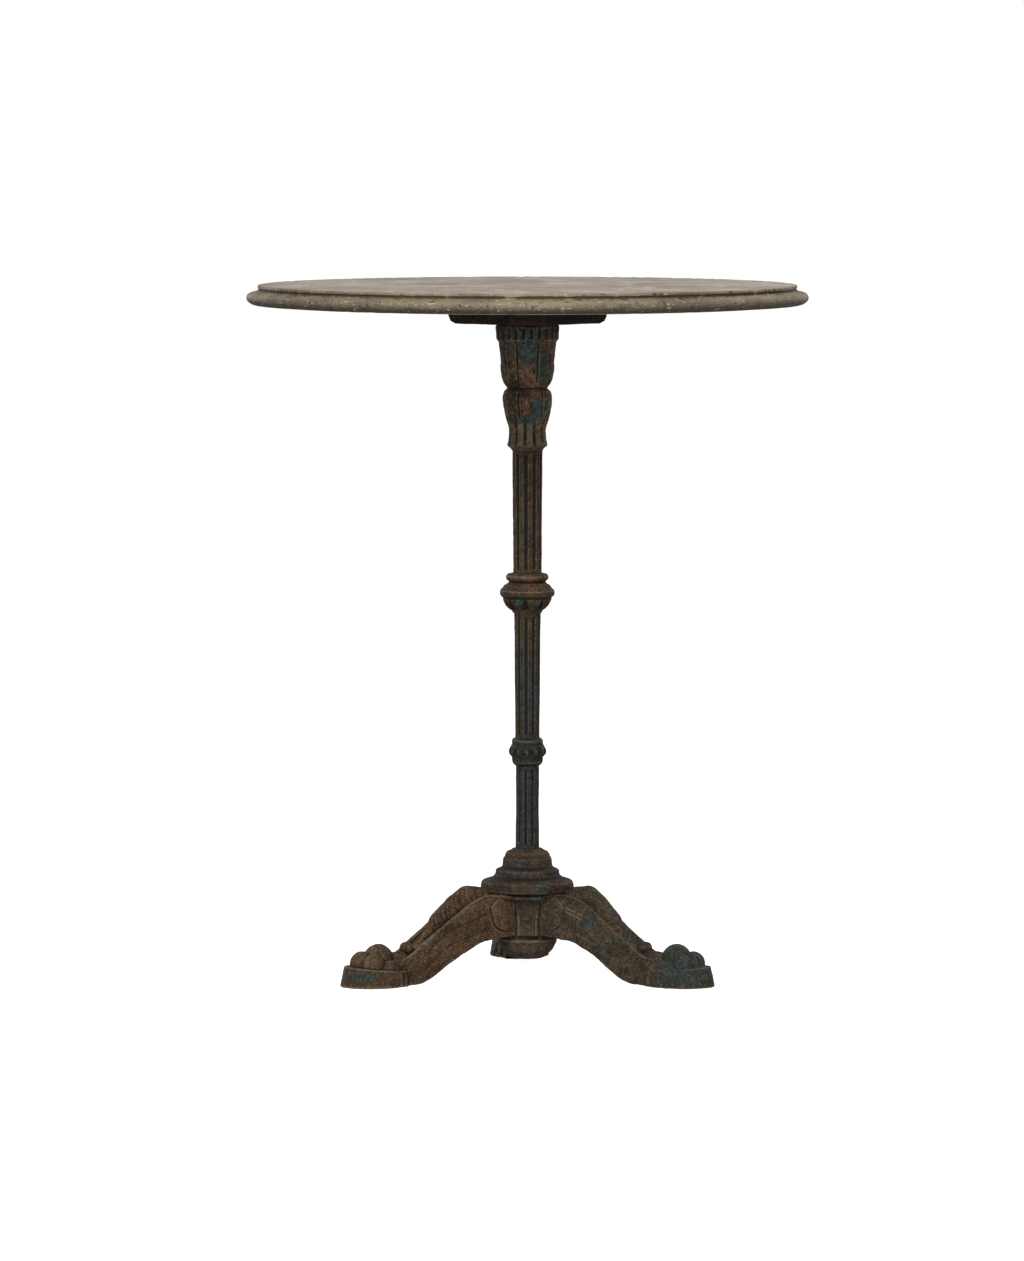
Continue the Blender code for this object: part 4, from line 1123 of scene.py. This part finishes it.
spots = ((-90, 50, 40, 0.5), (90, 50, 40, 0.6))
shaft = make_shaft("shaft_bottom", "bottom_shaft", "painted_iron", 12.3, 12.8, -99, spots, 0.7, seed=141)
dress(shaft, iron("iron_bottom_shaft", DARK, (0.028, 0.027, 0.022), (0.040, 0.026, 0.016), SLATE, -0.06))
hub_paint = (0.034, 0.056, 0.060)
hub_iron = iron("iron_hub", DARK, (0.056, 0.038, 0.024), (0.095, 0.048, 0.025), hub_paint, -0.01)
dress(make_hub(), hub_iron)

leg_block = Block((0.022, -0.036, -0.004), (0.230, 0.036, 0.106), LEG_STEP)
leg_right = make_leg(leg_block, "right", -30.0, -5.4 * MM, 0.45, seed=0)
leg_rear = make_leg(leg_block, "rear", 92.6, 0, 0.30, seed=1)
leg_left = make_leg(leg_block, "left", 210.0, 0, 0.12, seed=2)
dress(leg_right, iron("iron_leg_right", DARK, (0.060, 0.044, 0.028), RUST, (0.025, 0.047, 0.053), -0.02))
dress(leg_rear, iron("iron_leg_rear", DARK, BROWN, RUST, TEAL, 0.0))
left_colours = ((0.030, 0.019, 0.012), (0.082, 0.052, 0.032), (0.13, 0.062, 0.029), (0.020, 0.040, 0.045))
dress(leg_left, iron("iron_leg_left", *left_colours, 0.04))

FASTENERS = (
    (("bottom_nut", "bottom_washer"), hub_iron),
    (("threaded_sleeve",), hidden_metal("dull_brass", (0.50, 0.38, 0.18), 0.40)),
    (
        ("tie_rod", "top_nut", "top_washer", "top_screw", "screw_washer", "leg_bolt", "leg_washer"),
        hidden_metal("dull_steel", (0.16, 0.15, 0.14), 0.50),
    ),
)
for starts, metal in FASTENERS:
    for node_name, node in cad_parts.items():
        if node_name.startswith(starts):
            for material_slot in node.material_slots:
                material_slot.material = metal


# Studio


def make_camera():
    data = bpy.data.cameras.new("camera")
    data.lens = CAMERA_LENS
    data.sensor_width = 36
    data.clip_end = 60
    camera = add_object("camera", data)
    camera.location = CAMERA_PLACE
    camera.rotation_euler = (math.pi / 2 - CAMERA_TILT, 0, 0)
    bpy.context.scene.camera = camera


def soft_light(name, place, aim_height, size, power):
    """A rectangular light that points at the table's axis."""
    data = bpy.data.lights.new(name, "AREA")
    data.shape = "RECTANGLE"
    data.size, data.size_y = size
    data.energy = power
    light = add_object(name, data)
    light.location = place
    direction = Vector((0, 0, aim_height)) - Vector(place)
    light.rotation_euler = direction.to_track_quat("-Z", "Y").to_euler()


def seen_by_camera(tree):
    """1 where the camera sees a surface or the backdrop directly, else 0."""
    return tree.nodes.new("ShaderNodeLightPath").outputs["Is Camera Ray"]


def make_floor():
    """A white floor that stays as bright as the backdrop, apart from a faint shadow under the table."""
    mesh = bpy.data.meshes.new("studio_floor")
    mesh.from_pydata([(-30, -30, 0), (30, -30, 0), (30, 30, 0), (-30, 30, 0)], [], [(0, 1, 2, 3)])
    floor = add_object("studio_floor", mesh)
    s = Surface("studio_floor")
    glow = s.times(seen_by_camera(s.tree), CAMERA_WHITE)
    s.shade({"Base Color": (0.4, 0.4, 0.4), "Roughness": 1.0, "Specular IOR Level": 0.0})
    s.shade({"Emission Color": (1.0, 1.0, 1.0), "Emission Strength": glow})
    floor.data.materials.append(s.material)


def make_world():
    """White to the camera and dimmer as a light, so that the sides of round parts fall into shade."""
    world = bpy.data.worlds.new("studio")
    world.use_nodes = True
    tree = world.node_tree
    background = tree.nodes["Background"]
    background.inputs["Color"].default_value = (1, 1, 1, 1)
    glow = tree.nodes.new("ShaderNodeMapRange")
    glow.inputs["To Min"].default_value = AMBIENT
    glow.inputs["To Max"].default_value = 1.0
    tree.links.new(seen_by_camera(tree), glow.inputs["Value"])
    tree.links.new(glow.outputs["Result"], background.inputs["Strength"])
    bpy.context.scene.world = world


make_camera()
make_floor()
make_world()
soft_light("key", (-0.8, -3.2, 2.9), 0.5, (1.4, 1.1), 122)
soft_light("front", (0.5, -5.0, 0.9), 0.25, (1.3, 1.1), 85)
soft_light("top", (0.6, 0.8, 2.6), 0.7, (1.6, 1.6), 17)
soft_light("rear_left", (-2.4, 3.3, 1.4), 0.35, (1.4, 1.4), 46)
soft_light("rear_right", (2.4, 3.3, 1.4), 0.35, (1.4, 1.4), 46)
bpy.context.scene.view_settings.view_transform = "Standard"
